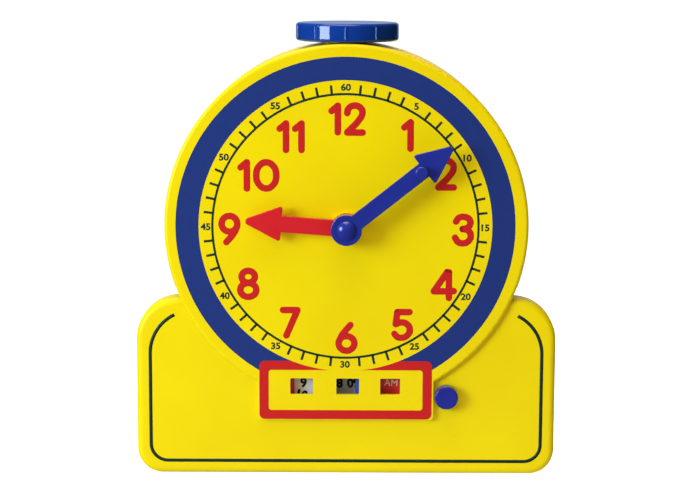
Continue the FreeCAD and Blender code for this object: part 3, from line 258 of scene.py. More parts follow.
# styrene sheet, matt, printed in two flat colours that meet on a straight line through centre, dulled by dust
def twoColourStyrene(name, ahead, behind, centre, direction, roughness):
    form = styreneSheet
    material, tree = startMaterial(name)
    place = addNode(tree, "TexCoord", {}).outputs["Object"]
    away = addNode(tree, "VectorMath", {0: place, 1: centre}, operation="SUBTRACT")
    side = addNode(tree, "VectorMath", {0: away.outputs["Vector"], 1: direction}, operation="DOT_PRODUCT")
    step = addNode(tree, "Math", {0: side.outputs["Value"], 1: 0.0}, operation="GREATER_THAN")
    both = addNode(tree, "MixRGB", {"Fac": step.outputs["Value"], "Color1": linear(behind),
                                    "Color2": linear(ahead)})
    dust = addNode(tree, "TexNoise", {"Vector": place, "Scale": patternScale(form["dustSize"]),
                                      "Detail": 3.0})
    veil = addNode(tree, "MapRange", {"Value": dust.outputs["Fac"], "To Min": form["dustVeil"][0],
                                      "To Max": form["dustVeil"][1]})
    tone = addNode(tree, "MixRGB", {"Fac": 1.0, "Color1": both.outputs["Color"],
                                    "Color2": veil.outputs["Result"]}, blend_type="MULTIPLY")
    bump = addNode(tree, "Bump", {"Height": dust.outputs["Fac"], "Strength": form["dustStrength"],
                                  "Distance": form["dustDepth"] * mm})
    finishMaterial(tree, {"Base Color": tone.outputs["Color"], "Roughness": roughness, "IOR": form["ior"],
                          "Normal": bump.outputs["Normal"]})
    return material


# each moulded colour: its tone, the rubbed edges, the darker waves, then roughness, gloss and depth of grain
caseYellow = mouldedAbs("caseYellowAbs", "#F2DC03", "#F8EB66", "#EDD402", 0.3, 0.17, 1.0)
handRed = mouldedAbs("handRedAbs", "#D6202A", "#E0545A", "#CC1D26", 0.3, 0.3, 0.6)
handBlue = mouldedAbs("handBlueAbs", "#26339A", "#4347A4", "#222E8E", 0.16, 0.5, 0.4)
knobBlue = mouldedAbs("knobBlueAbs", "#123C9C", "#3E63B8", "#0F368E", 0.07, 0.5, 0.15)
smallKnobBlue = mouldedAbs("smallKnobBlueAbs", "#2A3098", "#4348A8", "#252A8C", 0.12, 0.5, 0.5)
gearWhite = acetal("gearWhiteAcetal")
zincPlated = steel("zincPlatedSteel", "#B5B6B7", 0.34, (1.11, 25.0, 1.11))
drawnRod = steel("drawnSteelRod", "#A9AAAC", 0.26, (0.833, 0.833, 33.3))
toTheRight = (1, 0, 0)
discGrey = twoColourStyrene("greyStyrene", "#E6E5E2", "#E6E5E2", (0, 0, 0), toTheRight, 0.5)
# the disc's grey sheet drawn darker and bluer for the minute disc and its foil: the darkness is painted shade of
# its deep window
minuteGreyPaintedShade = twoColourStyrene("greyStyrenePaintedShade", "#C2C7D4", "#C2C7D4", (0, 0, 0), toTheRight, 0.5)
noonCentre = axisOf("am_pm_disc_turn")
morning = 317  # clockwise angle of the middle of the disc's red half, which is the AM half
noonSheet = twoColourStyrene("redBlueStyrene", "#EE2A2E", "#2A3396",
                             (noonCentre[0] * mm, 0, noonCentre[1] * mm),
                             (math.sin(math.radians(morning)), 0, math.cos(math.radians(morning))), 0.45)
flagEdge = -30.0  # the shutter is red left of this, under the hour window, and blue right of it
# its red is drawn brighter than the flag's own red: painted light, where the window's left edge shades the flag
shutterSheetPaintedLight = twoColourStyrene("shutterStyrenePaintedLight", "#2E52C0", "#E62A22", (flagEdge * mm, 0, 0), toTheRight,
                                0.4)
inkNavy = screenInk("navyScreenInk", "#1D3580", "#1A3178")
inkRed = screenInk("redScreenInk", "#C81D1C", "#C71D1F")
inkGreen = screenInk("darkGreenScreenInk", "#163229", "#17362D")
inkBlack = screenInk("blackScreenInk", "#17171A", "#111114")
inkWhite = screenInk("whiteScreenInk", "#FBF3F3", "#F2E6E7")

finishes = {
    "case_yellow": caseYellow, "hand_red": handRed, "hand_blue": handBlue, "knob_blue": knobBlue,
    "gear_white": gearWhite, "steel": zincPlated, "disc_grey": discGrey, "disc_red": noonSheet,
    "shutter_red": shutterSheetPaintedLight,
}
ownFinish = {"knob_shaft": drawnRod, "pinion_pin": drawnRod, "minute_disc": minuteGreyPaintedShade,
             "shutter_knob": smallKnobBlue}
for row in frame["record"]["subparts"]:
    solid = nodes[row["node"]]
    material = ownFinish.get(row["node"], finishes[row["material_slot"]])
    if not solid.material_slots:
        solid.data.materials.append(material)
    for place in solid.material_slots:
        place.material = material
print("materials on", len(nodes), "solids")


def clearSelection():
    if bpy.context.object and bpy.context.object.mode != "OBJECT":
        bpy.ops.object.mode_set(mode="OBJECT")
    bpy.ops.object.select_all(action="DESELECT")


def pick(objects):
    clearSelection()
    for obj in objects:
        obj.select_set(True)
    bpy.context.view_layer.objects.active = objects[0]


def joinAll(name, objects):
    pick(objects)
    if len(objects) > 1:
        bpy.ops.object.join()
    obj = bpy.context.object
    obj.name = name
    obj.data.name = name
    return obj


# puts an object's place, turn and size into its mesh
def settle(obj):
    pick([obj])
    bpy.ops.object.transform_apply(location=True, rotation=True, scale=True)
    return obj


def copyOf(obj):
    twin = obj.copy()
    twin.data = obj.data.copy()
    bpy.context.scene.collection.objects.link(twin)
    return twin


def startEdit(obj):
    pick([obj])
    bpy.ops.object.mode_set(mode="EDIT")
    bpy.ops.mesh.select_all(action="SELECT")


def endEdit():
    bpy.ops.mesh.select_all(action="SELECT")
    bpy.ops.mesh.normals_make_consistent(inside=False)
    bpy.ops.object.mode_set(mode="OBJECT")


def applyModifier(obj, kind, **settings):
    modifier = obj.modifiers.new(kind.lower(), kind)
    for key, value in settings.items():
        setattr(modifier, key, value)
    pick([obj])
    bpy.ops.object.modifier_apply(modifier=modifier.name)
    return obj


def subtract(obj, cutter):
    applyModifier(obj, "BOOLEAN", operation="DIFFERENCE", object=cutter, solver="EXACT")
    bpy.data.objects.remove(cutter)


def dress(obj, material, body):
    obj.data.materials.clear()
    obj.data.materials.append(material)
    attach(obj, body)


inkFilm = 0.05  # a heavy screen print
dialPrint = {
    "offset": -0.7,  # the whole print sits a little left of the case's centre
    "ringInner": 103.0,
    "ringOuter": 119.2,
    "circleRadius": 93.3,
    "circleWidth": 1.6,
    "tickLength": 6.6,
    "tickWidth": 1.7,
    "numeralRadius": 98.1,
    "numeralHeight": 4.7,
    "numeralWeight": 0.22,  # how much the strokes are fattened
    "numeralStretch": 1.08,
    "steps": 240,  # straight runs in each circle
}
minuteTurn = 6  # degrees
printCentre = (dialCentre[0] + dialPrint["offset"], dialCentre[1])


# flat ring: a circle at the inner edge, its edges drawn outwards, then the thickness towards the front
def flatRing(name, centre, inner, outer, face, thickness):
    clearSelection()
    middle = (centre[0] * mm, face * mm, centre[1] * mm)
    bpy.ops.mesh.primitive_circle_add(vertices=dialPrint["steps"], radius=inner * mm,
                                      rotation=(math.pi / 2, 0, 0), location=middle)
    obj = settle(bpy.context.object)
    obj.name = name
    startEdit(obj)
    bpy.ops.mesh.extrude_edges_move()
    bpy.ops.transform.resize(value=(outer / inner, 1, outer / inner), center_override=middle)
    bpy.ops.mesh.select_all(action="SELECT")
    bpy.ops.mesh.extrude_region_move(TRANSFORM_OT_translate={"value": (0, -thickness * mm, 0)})
    endEdit()
    return obj


# ink bar as high as length, that stands on the origin
def inkBar(width, length):
    clearSelection()
    bpy.ops.mesh.primitive_plane_add(size=1, rotation=(math.pi / 2, 0, 0))
    bar = bpy.context.object
    bar.scale = (width * mm, length * mm, 1)
    settle(bar)
    startEdit(bar)
    bpy.ops.transform.translate(value=(0, 0, length / 2 * mm))
    bpy.ops.mesh.extrude_region_move(TRANSFORM_OT_translate={"value": (0, -inkFilm * mm, 0)})
    endEdit()
    return bar


dialRing = flatRing("dial_ring", printCentre, dialPrint["ringInner"], dialPrint["ringOuter"], dialFace,
                    inkFilm)
halfWidth = dialPrint["circleWidth"] / 2
minuteCircle = flatRing("minute_circle", printCentre, dialPrint["circleRadius"] - halfWidth,
                        dialPrint["circleRadius"] + halfWidth, dialFace, inkFilm)
firstTick = inkBar(dialPrint["tickWidth"], dialPrint["tickLength"])
startEdit(firstTick)
bpy.ops.transform.translate(value=(0, 0, dialPrint["circleRadius"] * mm))
bpy.ops.object.mode_set(mode="OBJECT")
ticks = []
for minute in range(60):
    if minute % 5:
        tick = copyOf(firstTick)
        tick.rotation_euler = (0, math.radians(minuteTurn * minute), 0)
        tick.location = (printCentre[0] * mm, dialFace * mm, printCentre[1] * mm)
        ticks.append(settle(tick))
bpy.data.objects.remove(firstTick)
dress(joinAll("minute_track", [minuteCircle] + ticks), inkGreen, "case")
print("minute track:", len(ticks), "ticks")

font = {"numeral": 0.729, "curveSteps": 4}  # the height of its numerals is a share of its size


# printed words, centred on a place of the front and turned clockwise by angle
def printedWords(words, height, centre, face, angle=0.0, weight=0.0, stretch=1.0):
    clearSelection()
    bpy.ops.object.text_add()
    text = bpy.context.object
    text.data.body = words
    text.data.size = height / font["numeral"] * mm
    text.data.resolution_u = font["curveSteps"]
    text.data.offset = weight * mm
    text.data.extrude = inkFilm / 2 * mm
    pick([text])
    bpy.ops.object.convert(target="MESH")
    text = bpy.context.object
    bpy.ops.object.origin_set(type="ORIGIN_GEOMETRY", center="BOUNDS")
    text.scale = (stretch, 1, 1)
    text.rotation_euler = (math.pi / 2, math.radians(angle), 0)
    text.location = (centre[0] * mm, (face - inkFilm / 2) * mm, centre[1] * mm)
    return settle(text)


# place at a radius and a clockwise angle from the top of a centre
def around(centre, radius, angle):
    turn = math.radians(angle)
    return centre[0] + radius * math.sin(turn), centre[1] + radius * math.cos(turn)


numerals = []
for minute in range(5, 65, 5):
    spot = around(printCentre, dialPrint["numeralRadius"], minuteTurn * minute)
    numerals.append(printedWords(str(minute), dialPrint["numeralHeight"], spot, dialFace,
                                 weight=dialPrint["numeralWeight"], stretch=dialPrint["numeralStretch"]))
dress(joinAll("minute_numerals", numerals), inkGreen, "case")
print("minute numerals:", len(numerals))

# Hour numerals are drawn with a round brush. Each digit has its width and its strokes, in units of which 33
# make its height. A stroke is a line of points (across, up) for a smooth curve, and "o" closes the one that
# follows.
hourPrint = {
    "unit": 0.705,
    "brush": 6.7,  # units
    "digitGap": 2.3,  # units between the two digits of a number
    "curveSteps": 10,
    "brushSteps": 4,
    "ballSegments": 20,
    "ballRings": 10,
}
strokes = {
    "1": (13.0, [[(3.4, 24.4), (9.4, 29.4)], [(9.6, 29.6), (9.6, 3.4)]]),
    "2": (22.2, [[(3.6, 22.4), (4.6, 26.6), (11.2, 29.8), (17.4, 26.6), (18.2, 21.2), (14.6, 14.8),
                  (3.6, 3.4)],
                 [(3.6, 3.2), (18.8, 3.2)]]),
    "3": (22.4, [[(4.0, 25.0), (6.6, 28.6), (11.8, 29.8), (17.4, 27.0), (18.0, 22.4), (15.0, 18.6),
                  (10.6, 17.6)],
                 [(10.6, 17.6), (16.2, 16.0), (18.8, 10.6), (16.0, 5.0), (10.6, 3.2), (5.8, 4.8),
                  (3.2, 8.8)]]),
    "4": (27.0, [[(16.6, 29.6), (3.4, 10.2)], [(3.6, 10.0), (23.4, 10.4)], [(18.4, 29.4), (18.6, 3.4)],
                 [(16.6, 29.6), (18.4, 29.4)]]),
    "5": (22.0, [[(18.4, 29.4), (6.2, 29.4)], [(6.2, 29.4), (4.6, 17.2)],
                 [(4.6, 17.0), (9.6, 18.8), (15.6, 17.4), (18.8, 11.4), (16.0, 5.4), (10.2, 3.2), (6.2, 4.2),
                  (3.4, 7.2)]]),
    "6": (22.6, [[(15.2, 29.6), (6.8, 19.2), (4.0, 13.4)],
                 "o", [(11.3, 18.2), (19.2, 11.2), (11.3, 3.3), (3.4, 11.2)]]),
    "7": (21.2, [[(3.2, 29.4), (17.6, 29.4)], [(17.6, 29.2), (6.6, 3.4)]]),
    "8": (23.2, ["o", [(11.6, 29.8), (18.2, 23.8), (11.6, 17.8), (5.0, 23.8)],
                 "o", [(11.6, 17.4), (19.6, 10.4), (11.6, 3.4), (3.6, 10.4)]]),
    "9": (23.0, ["o", [(11.6, 29.8), (19.4, 21.8), (11.6, 14.0), (3.8, 21.8)],
                 [(19.3, 19.6), (16.4, 13.2), (8.4, 3.4)]]),
    "0": (27.0, ["o", [(13.5, 29.6), (20.4, 26.0), (23.4, 16.6), (20.4, 7.2), (13.5, 3.6), (6.6, 7.2),
                       (3.6, 16.6), (6.6, 26.0)]]),
}
hourPlaces = {  # each number's middle, right of and above the print's centre
    "12": (0.9, 76.0), "1": (42.9, 64.7), "2": (70.2, 37.8), "3": (82.4, -1.6), "4": (69.4, -40.8),
    "5": (40.3, -69.5), "6": (1.0, -79.0), "7": (-38.8, -68.3), "8": (-68.3, -40.5), "9": (-81.3, -1.6),
    "10": (-60.9, 36.3), "11": (-38.4, 63.5),
}


# round bar bent along the points, with a ball on each open end
def brushStroke(points, closed):
    clearSelection()
    bpy.ops.curve.primitive_bezier_curve_add()
    stroke = bpy.context.object
    stroke.data.splines.clear()
    line = stroke.data.splines.new("BEZIER")
    line.bezier_points.add(len(points) - 1)
    for point, (across, up) in zip(line.bezier_points, points):
        point.co = (across, 0, up)
        point.handle_left_type = "AUTO"
        point.handle_right_type = "AUTO"
    line.use_cyclic_u = closed
    line.resolution_u = hourPrint["curveSteps"] if len(points) > 2 else 1
    stroke.data.bevel_depth = hourPrint["brush"] / 2
    stroke.data.bevel_resolution = hourPrint["brushSteps"]
    stroke.data.use_fill_caps = True
    pick([stroke])
    bpy.ops.object.convert(target="MESH")
    made = [bpy.context.object]
    for across, up in () if closed else (points[0], points[-1]):
        clearSelection()
        bpy.ops.mesh.primitive_uv_sphere_add(radius=hourPrint["brush"] / 2, location=(across, 0, up),
                                             segments=hourPrint["ballSegments"],
                                             ring_count=hourPrint["ballRings"])
        made.append(settle(bpy.context.object))
    return made


# the digits of a number side by side, pressed flat, with the number's middle at its place on the dial
def brushNumber(number, across, up):
    made = []
    start = 0.0
    for digit in number:
        width, lines = strokes[digit]
        closed = False
        for line in lines:
            if line == "o":
                closed = True
                continue
            made += brushStroke([(along + start, height) for along, height in line], closed)
            closed = False
        start += width + hourPrint["digitGap"]
    obj = joinAll("hour_" + number, made)
    bpy.ops.object.origin_set(type="ORIGIN_GEOMETRY", center="BOUNDS")
    unit = hourPrint["unit"] * mm
    obj.scale = (unit, 2 * inkFilm / hourPrint["brush"] * mm, unit)
    obj.location = ((printCentre[0] + across) * mm, dialFace * mm, (printCentre[1] + up) * mm)
    return settle(obj)


hours = [brushNumber(number, *place) for number, place in hourPlaces.items()]
dress(joinAll("hour_numerals", hours), inkRed, "case")
print("hour numerals:", len(hours))

windowFrame = {
    "left": -61.4, "right": 61.0, "low": 41.0, "high": 83.3,  # the top bar runs out under the dial's ring
    "band": 6.6,
    "outerRound": 4.0,
    "innerRound": 2.0,
    "film": 0.08,  # two coats
    "gap": 0.3,  # the navy ring stops this far inside the frame's edge
    "cornerSteps": 8,
    "cutterDepth": 3.0,
    "cutterBack": 1.0,  # a cutter starts this far behind the dial
}


# plate with round corners, that faces the front and is as thick as film
def roundedPlate(name, left, right, low, high, radius, face, film):
    clearSelection()
    bpy.ops.mesh.primitive_plane_add(size=1, rotation=(math.pi / 2, 0, 0))
    plate = bpy.context.object
    plate.name = name
    plate.scale = ((right - left) * mm, (high - low) * mm, 1)
    plate.location = ((left + right) / 2 * mm, face * mm, (low + high) / 2 * mm)
    settle(plate)
    startEdit(plate)
    bpy.ops.mesh.bevel(offset=radius * mm, segments=windowFrame["cornerSteps"], affect="VERTICES")
    bpy.ops.mesh.select_all(action="SELECT")
    bpy.ops.mesh.extrude_region_move(TRANSFORM_OT_translate={"value": (0, -film * mm, 0)})
    endEdit()
    return plate


def framePlate(name, inset, radius, face, film):
    return roundedPlate(name, windowFrame["left"] + inset, windowFrame["right"] - inset,
                        windowFrame["low"] + inset, windowFrame["high"] - inset, radius, face, film)


def frameCutter(name, inset, radius):
    return framePlate(name, inset, radius, dialFace + windowFrame["cutterBack"], windowFrame["cutterDepth"])


redFrame = framePlate("window_frame", 0, windowFrame["outerRound"], dialFace, windowFrame["film"])
subtract(redFrame, frameCutter("frameHole", windowFrame["band"], windowFrame["innerRound"]))
clearSelection()
bpy.ops.mesh.primitive_cylinder_add(vertices=dialPrint["steps"], radius=dialPrint["ringInner"] * mm,
                                    depth=windowFrame["cutterDepth"] * mm, rotation=(math.pi / 2, 0, 0),
                                    location=(printCentre[0] * mm, dialFace * mm, printCentre[1] * mm))
subtract(redFrame, settle(bpy.context.object))
dress(redFrame, inkRed, "case")
subtract(dialRing, frameCutter("ringGap", windowFrame["gap"], windowFrame["outerRound"]))
dress(dialRing, inkNavy, "case")
print("window frame and dial ring")

baseLine = {
    "width": 2.4,
    "halfSpan": 139.0,
    "low": 9.6,
    "footRound": 12.0,
    "top": 115.5,
    "shoulderRound": 31.0,
    "shoulderTurn": 64,  # degrees that the line follows round the shoulder before it stops
    "arcSteps": 14,
}


def arcPoints(across, up, radius, start, end):
    steps = baseLine["arcSteps"]
    turns = [math.radians(start + (end - start) * step / steps) for step in range(steps + 1)]
    return [(across + radius * math.cos(turn), up + radius * math.sin(turn)) for turn in turns]


# printed line: a ribbon stood on edge along the points, then given the line's width
def inkLine(name, points, width, face):
    clearSelection()
    bpy.ops.curve.primitive_bezier_curve_add()
    ribbon = bpy.context.object
    ribbon.name = name
    ribbon.data.splines.clear()
    line = ribbon.data.splines.new("POLY")
    line.points.add(len(points) - 1)
    for point, (across, up) in zip(line.points, points):
        point.co = (across * mm, up * mm, 0, 1)
    ribbon.data.dimensions = "2D"
    ribbon.data.fill_mode = "NONE"
    ribbon.data.extrude = inkFilm / 2 * mm
    pick([ribbon])
    bpy.ops.object.convert(target="MESH")
    ribbon = bpy.context.object
    ribbon.rotation_euler = (math.pi / 2, 0, 0)
    ribbon.location = (0, (face - inkFilm / 2) * mm, 0)
    settle(ribbon)
    return applyModifier(ribbon, "SOLIDIFY", thickness=width * mm, offset=0.0, use_even_offset=True)


half = baseLine["halfSpan"]
foot = baseLine["footRound"]
shoulder = baseLine["shoulderRound"]
turn = baseLine["shoulderTurn"]
shoulderMiddle = baseLine["top"] - shoulder * math.sin(math.radians(turn))
route = arcPoints(-half + shoulder, shoulderMiddle, shoulder, 180 - turn, 180)
route += arcPoints(-half + foot, baseLine["low"] + foot, foot, 180, 270)
route += arcPoints(half - foot, baseLine["low"] + foot, foot, 270, 360)
route += arcPoints(half - shoulder, shoulderMiddle, shoulder, 0, turn)
dress(inkLine("base_line", route, baseLine["width"], baseFace), inkGreen, "case")
print("base line")

shownTime = {"hour": 9.143, "minute": 8.56}  # as the windows show it
discPrint = {
    "hourCount": 24, "hourRadius": 34.4, "hourHeight": 6.6, "hourWindow": 90,  # clockwise angle of the window
    "minuteRadius": 114.8, "minuteHeight": 6.4, "minuteWindow": 180,
    "noonCount": 12, "noonRadius": 26.7, "noonHeight": 5.0, "noonWindow": 270,
    "noonTurn": 3.2,  # the AM in the window stands this far past level
    "weight": 0.4,  # how much the bold numbers are fattened
}
hourCentre = axisOf("hour_disc_turn")
hourFace = frontOf("hour_disc")
level = discPrint["hourWindow"]
firstHour = int(shownTime["hour"])
numbers = []
for step in range(discPrint["hourCount"]):
    angle = level + 360 / discPrint["hourCount"] * (step - (shownTime["hour"] - firstHour))
    spot = around(hourCentre, discPrint["hourRadius"], angle)
    hour = (firstHour - 1 + step) % 12 + 1
    numbers.append(printedWords(str(hour), discPrint["hourHeight"], spot, hourFace, angle - level,
                                discPrint["weight"]))
dress(joinAll("hour_disc_numbers", numbers), inkBlack, "hour_number_disc")
numberRing = {"inner": 109.0, "outer": 122.9, "thickness": 0.2}  # printed foil, a little wider than the disc
minuteFace = frontOf("minute_disc")
foil = flatRing("minute_number_ring", dialCentre, numberRing["inner"], numberRing["outer"], minuteFace,
                numberRing["thickness"])
dress(foil, minuteGreyPaintedShade, "minute_works")
minuteFace -= numberRing["thickness"]
level = discPrint["minuteWindow"]
numbers = []
for minute in range(60):
    angle = level - minuteTurn * (minute - shownTime["minute"])
    spot = around(dialCentre, discPrint["minuteRadius"], angle)
    numbers.append(printedWords("%02d" % minute, discPrint["minuteHeight"], spot, minuteFace, angle - level,
                                discPrint["weight"]))
dress(joinAll("minute_disc_numbers", numbers), inkBlack, "minute_works")
noonFace = frontOf("am_pm_disc")
level = discPrint["noonWindow"]
words = []
for step in range(discPrint["noonCount"]):
    angle = level + discPrint["noonTurn"] - 360 / discPrint["noonCount"] * step
    spot = around(noonCentre, discPrint["noonRadius"], angle)
    late = 90 <= (angle - morning) % 360 <= 270
    words.append(printedWords("PM" if late else "AM", discPrint["noonHeight"], spot, noonFace, angle - level))
dress(joinAll("noon_disc_words", words), inkWhite, "noon_disc")
print("disc prints")

# self-tapping screws with a pan head and a cross recess, one by one where the CAD's plain ones are
screwKinds = {
    "case_screws": {"body": "case", "head": 2.4, "shank": 1.6, "pitch": 1.3, "headAtBack": True},
    "gear_screws": {"body": "case", "head": 1.2, "shank": 1.2, "pitch": 0.9, "headAtBack": True},
    "bridge_screws": {"body": "case", "head": 1.2, "shank": 1.2, "pitch": 0.9, "headAtBack": False},
    "disc_screws": {"body": "minute_works", "head": 1.2, "shank": 1.2, "pitch": 0.9, "headAtBack": True},
    "pinion_screw": {"body": "shutter_drive", "head": 1.0, "shank": 1.2, "pitch": 0.9, "headAtBack": True},
}
weld = 0.001  # points nearer than this are one
screwForm = {
    "crown": [(0.0, 1.0), (0.45, 0.97), (0.8, 0.8), (0.97, 0.5), (1.0, 0.15), (0.97, 0.0)],  # radius, height
    "root": 0.76,  # radius between the threads, as a share of the shank's
    "flank": 0.35,  # share of the pitch that the thread takes to reach its root
    "steps": 24,
    "smoothTurn": 40,  # degrees, past which an edge stays sharp
    "recessLength": 1.25,  # of the cross, as a share of the head's radius
    "recessWidth": 0.27,
    "recessDepth": 0.6,  # as a share of the head's height
    "turnEach": 37,  # degrees that each screw is turned on from the one before
}


# loose solids of a CAD node, each as its lowest and highest corner
def solidsOf(nodeName):
    twin = copyOf(nodes[nodeName])
    startEdit(twin)
    bpy.ops.mesh.remove_doubles(threshold=weld * mm)
    bpy.ops.mesh.separate(type="LOOSE")
    bpy.ops.object.mode_set(mode="OBJECT")
    boxes = []
    for part in list(bpy.context.selected_objects):
        corners = [Vector(corner) / mm for corner in part.bound_box]
        boxes.append((Vector(map(min, *corners)), Vector(map(max, *corners))))
        bpy.data.objects.remove(part)
    return sorted(boxes, key=lambda box: (round(box[0].z, 1), round(box[0].x, 1)))


# one screw along Y: its outline is drawn out point by point from the crown to the tip, and spun
def oneScrew(kind, headRadius, length):
    outline = [(radius * headRadius, height * kind["head"]) for radius, height in screwForm["crown"]]
    depth = 0.0
    outline.append((kind["shank"], depth))
    root = kind["shank"] * screwForm["root"]
    flank = kind["pitch"] * screwForm["flank"]
    tip = length - kind["head"]
    while depth + kind["pitch"] < tip - kind["shank"]:
        outline.append((root, -depth - flank))
        outline.append((kind["shank"], -depth - kind["pitch"]))
        depth += kind["pitch"]
    outline.append((root, -depth - flank))
    outline.append((0.0, -tip))
    clearSelection()
    bpy.ops.mesh.primitive_plane_add(size=mm)
    screw = bpy.context.object
    startEdit(screw)
    bpy.ops.mesh.merge(type="CENTER")
    bpy.ops.transform.translate(value=(0, outline[0][1] * mm, 0))
    for (radius, along), (nextRadius, nextAlong) in zip(outline, outline[1:]):
        step = ((nextRadius - radius) * mm, (nextAlong - along) * mm, 0)
        bpy.ops.mesh.extrude_vertices_move(TRANSFORM_OT_translate={"value": step})
    bpy.ops.mesh.select_all(action="SELECT")
    bpy.ops.mesh.spin(steps=screwForm["steps"], angle=2 * math.pi, center=(0, 0, 0), axis=(0, 1, 0))
    bpy.ops.mesh.select_all(action="SELECT")
    bpy.ops.mesh.remove_doubles(threshold=weld * mm)
    endEdit()
    for turn in (0, math.pi / 2):
        clearSelection()
        bpy.ops.mesh.primitive_cube_add(size=1, rotation=(0, turn, 0), location=(0, kind["head"] * mm, 0))
        bar = bpy.context.object
        bar.scale = (screwForm["recessLength"] * headRadius * mm,
                     2 * screwForm["recessDepth"] * kind["head"] * mm,
                     screwForm["recessWidth"] * headRadius * mm)
        subtract(screw, settle(bar))
    pick([screw])
    bpy.ops.object.shade_smooth_by_angle(angle=math.radians(screwForm["smoothTurn"]))
    return screw


screwCount = 0
for nodeName, kind in screwKinds.items():
    boxes = solidsOf(nodeName)
    low, high = boxes[0]
    screw = oneScrew(kind, (high.x - low.x) / 2, high.y - low.y)
    made = []
    for low, high in boxes:
        twin = copyOf(screw)
        seat = high.y - kind["head"] if kind["headAtBack"] else low.y + kind["head"]
        twin.rotation_euler = (0, math.radians(screwForm["turnEach"] * screwCount),
                               0 if kind["headAtBack"] else math.pi)
        twin.location = ((low.x + high.x) / 2 * mm, seat * mm, (low.z + high.z) / 2 * mm)
        made.append(settle(twin))
        screwCount += 1
    bpy.data.objects.remove(screw)
    piece = joinAll(nodeName.replace("screw", "threaded_screw"), made)
    dress(piece, zincPlated, kind["body"])
    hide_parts(nodeName)
print("screws:", screwCount)

# the table ends behind the clock, where the white backdrop takes over
table = {
    "left": -1.6, "right": 1.6, "front": -1.2, "back": 0.75,
    "glow": 0.8,
    "roughness": 0.9,
    "cloudSize": 167,
    "cloudShade": (0.92, 0.95),
}
clearSelection()
bpy.ops.mesh.primitive_plane_add(size=1)
floor = bpy.context.object
floor.name = "floor"
floor.scale = (table["right"] - table["left"], table["back"] - table["front"], 1)
floor.location = (0, (table["back"] + table["front"]) / 2, 0)
settle(floor)
# opal acrylic light table: white, matt, lit from below
opal, tree = startMaterial("opalAcrylicTable")
place = addNode(tree, "TexCoord", {}).outputs["Object"]
cloud = addNode(tree, "TexNoise", {"Vector": place, "Scale": patternScale(table["cloudSize"])})
shade = addNode(tree, "MapRange", {"Value": cloud.outputs["Fac"], "To Min": table["cloudShade"][0],
                                   "To Max": table["cloudShade"][1]})
finishMaterial(tree, {"Base Color": shade.outputs["Result"], "Roughness": table["roughness"],
                      "Emission Color": (1, 1, 1, 1), "Emission Strength": table["glow"]})
floor.data.materials.append(opal)
floor.visible_glossy = False
floor.visible_diffuse = False  # a lamp on the table, tableLight, stands in for its light on the clock
floor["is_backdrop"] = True
print("table")

# the room: an even dim light, and in reflections only the white backdrop behind the clock and the ceiling
studio = {
    "ambient": (0.1, 0.08, 0.06, 1),
    "cool": (0.55, 0.72, 1.0),
    "backdrop": 0.55,
    "backdropEdge": (0.8, 0.97),  # where the backdrop's light begins and is full, as a direction's share of Y
    "ceiling": 0.3,
    "ceilingEdge": (0.3, 0.7),  # and the ceiling's, as a share of Z
    "dark": 0.01,
    "seen": (1.05, 1.05, 1.05, 1),
}
bpy.context.scene.view_settings.view_transform = "Standard"
world = bpy.data.worlds.new("studio")
bpy.context.scene.world = world
world.use_nodes = True
tree = world.node_tree
tree.nodes.clear()
towards = addNode(tree, "SeparateXYZ", {"Vector": addNode(tree, "TexCoord", {}).outputs["Generated"]})
behind = addNode(tree, "MapRange", {"Value": towards.outputs["Y"], "From Min": studio["backdropEdge"][0],
                                    "From Max": studio["backdropEdge"][1], "To Min": studio["dark"],
                                    "To Max": studio["backdrop"]})
above = addNode(tree, "MapRange", {"Value": towards.outputs["Z"], "From Min": studio["ceilingEdge"][0],
                                   "From Max": studio["ceilingEdge"][1], "To Min": studio["dark"],
                                   "To Max": studio["ceiling"]})
bright = addNode(tree, "Math", {0: behind.outputs["Result"], 1: above.outputs["Result"]}, operation="MAXIMUM")
ray = addNode(tree, "LightPath", {})
mirrored = addNode(tree, "VectorMath", {0: studio["cool"], "Scale": bright.outputs["Value"]},
                   operation="SCALE")
room = addNode(tree, "MixRGB", {"Fac": ray.outputs["Is Glossy Ray"], "Color1": studio["ambient"],
                                "Color2": mirrored.outputs["Vector"]})
glow = addNode(tree, "MixRGB", {"Fac": ray.outputs["Is Camera Ray"], "Color1": room.outputs["Color"],
                                "Color2": studio["seen"]})
sky = addNode(tree, "Background", {"Color": glow.outputs["Color"]})
addNode(tree, "OutputWorld", {"Surface": sky.outputs["Background"]})
print("studio")

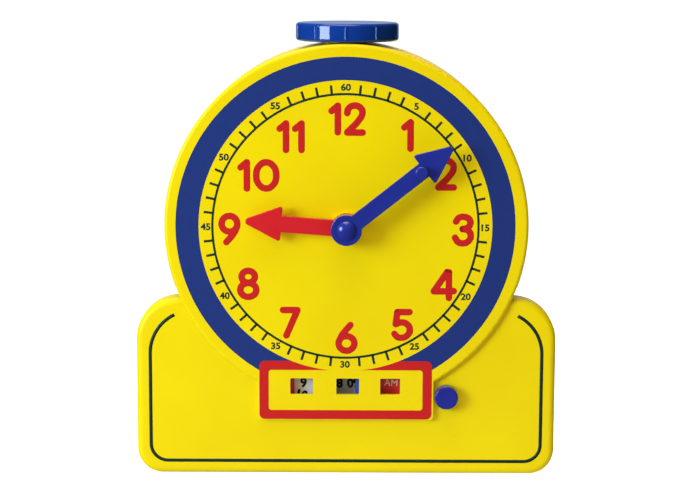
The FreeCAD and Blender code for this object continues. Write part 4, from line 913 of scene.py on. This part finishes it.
# places and sizes in metres, power in watts; the fills are too large and even to show as reflections
clock = (0, 0, 0.17)
lights = {
    "keyLight": {"place": (-1.42, -1.12, 0.54), "target": clock, "power": 27, "width": 0.78, "height": 0.86,
                 "colour": (0.82, 1.0, 1.12), "reflected": True},
    "topLight": {"place": (-0.25, -0.25, 1.9), "target": clock, "power": 24, "width": 1.6, "height": 1.0,
                 "colour": (1.0, 0.88, 0.8), "reflected": True},
    "frontFill": {"place": (-0.5, -2.2, 1.5), "target": clock, "power": 23, "width": 2.6, "height": 2.0,
                  "colour": (0.95, 0.76, 0.58), "reflected": False},
    "tableLight": {"place": (0, -0.36, 0.0004), "target": (0, -0.36, 1), "power": 2.6, "width": 1.8,
                   "height": 0.7, "colour": (0.96, 0.92, 0.8), "reflected": False},
    "backLight": {"place": (0, 1.4, 1.9), "target": clock, "power": 34, "width": 2.0, "height": 1.2,
                  "colour": (1.0, 1.0, 1.0), "reflected": False},
}
for name, light in lights.items():
    clearSelection()
    bpy.ops.object.light_add(type="AREA", location=light["place"])
    lamp = bpy.context.object
    lamp.name = name
    lamp.data.energy = light["power"]
    lamp.data.shape = "RECTANGLE"
    lamp.data.size = light["width"]
    lamp.data.size_y = light["height"]
    lamp.data.color = light["colour"]
    aim = Vector(light["target"]) - Vector(light["place"])
    lamp.rotation_euler = aim.to_track_quat("-Z", "Y").to_euler()
    lamp.visible_glossy = light["reflected"]
    lamp.visible_camera = False
print("lights:", len(lights))

view = {
    "place": (5.54, -1364.2, 370.5),  # mm
    "pitch": 8.74,  # degrees down from level
    "roll": 0.244,
    "pixels": 1929.25,  # distance from lens to picture, in pixels of it, as the shifts are
    "shiftX": -4.26,
    "shiftY": -2.5,
    "pictureWidth": 700,
    "sensor": 36,
}
clearSelection()
bpy.ops.object.camera_add(location=[coordinate * mm for coordinate in view["place"]])
camera = bpy.context.object
tilt = Matrix.Rotation(math.radians(90 - view["pitch"]), 3, "X")
camera.rotation_euler = (tilt @ Matrix.Rotation(math.radians(view["roll"]), 3, "Z")).to_euler()
camera.data.sensor_width = view["sensor"]
camera.data.lens = view["pixels"] / view["pictureWidth"] * view["sensor"]
camera.data.shift_x = view["shiftX"] / view["pictureWidth"]
camera.data.shift_y = view["shiftY"] / view["pictureWidth"]
bpy.context.scene.camera = camera
print("camera")

low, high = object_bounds()
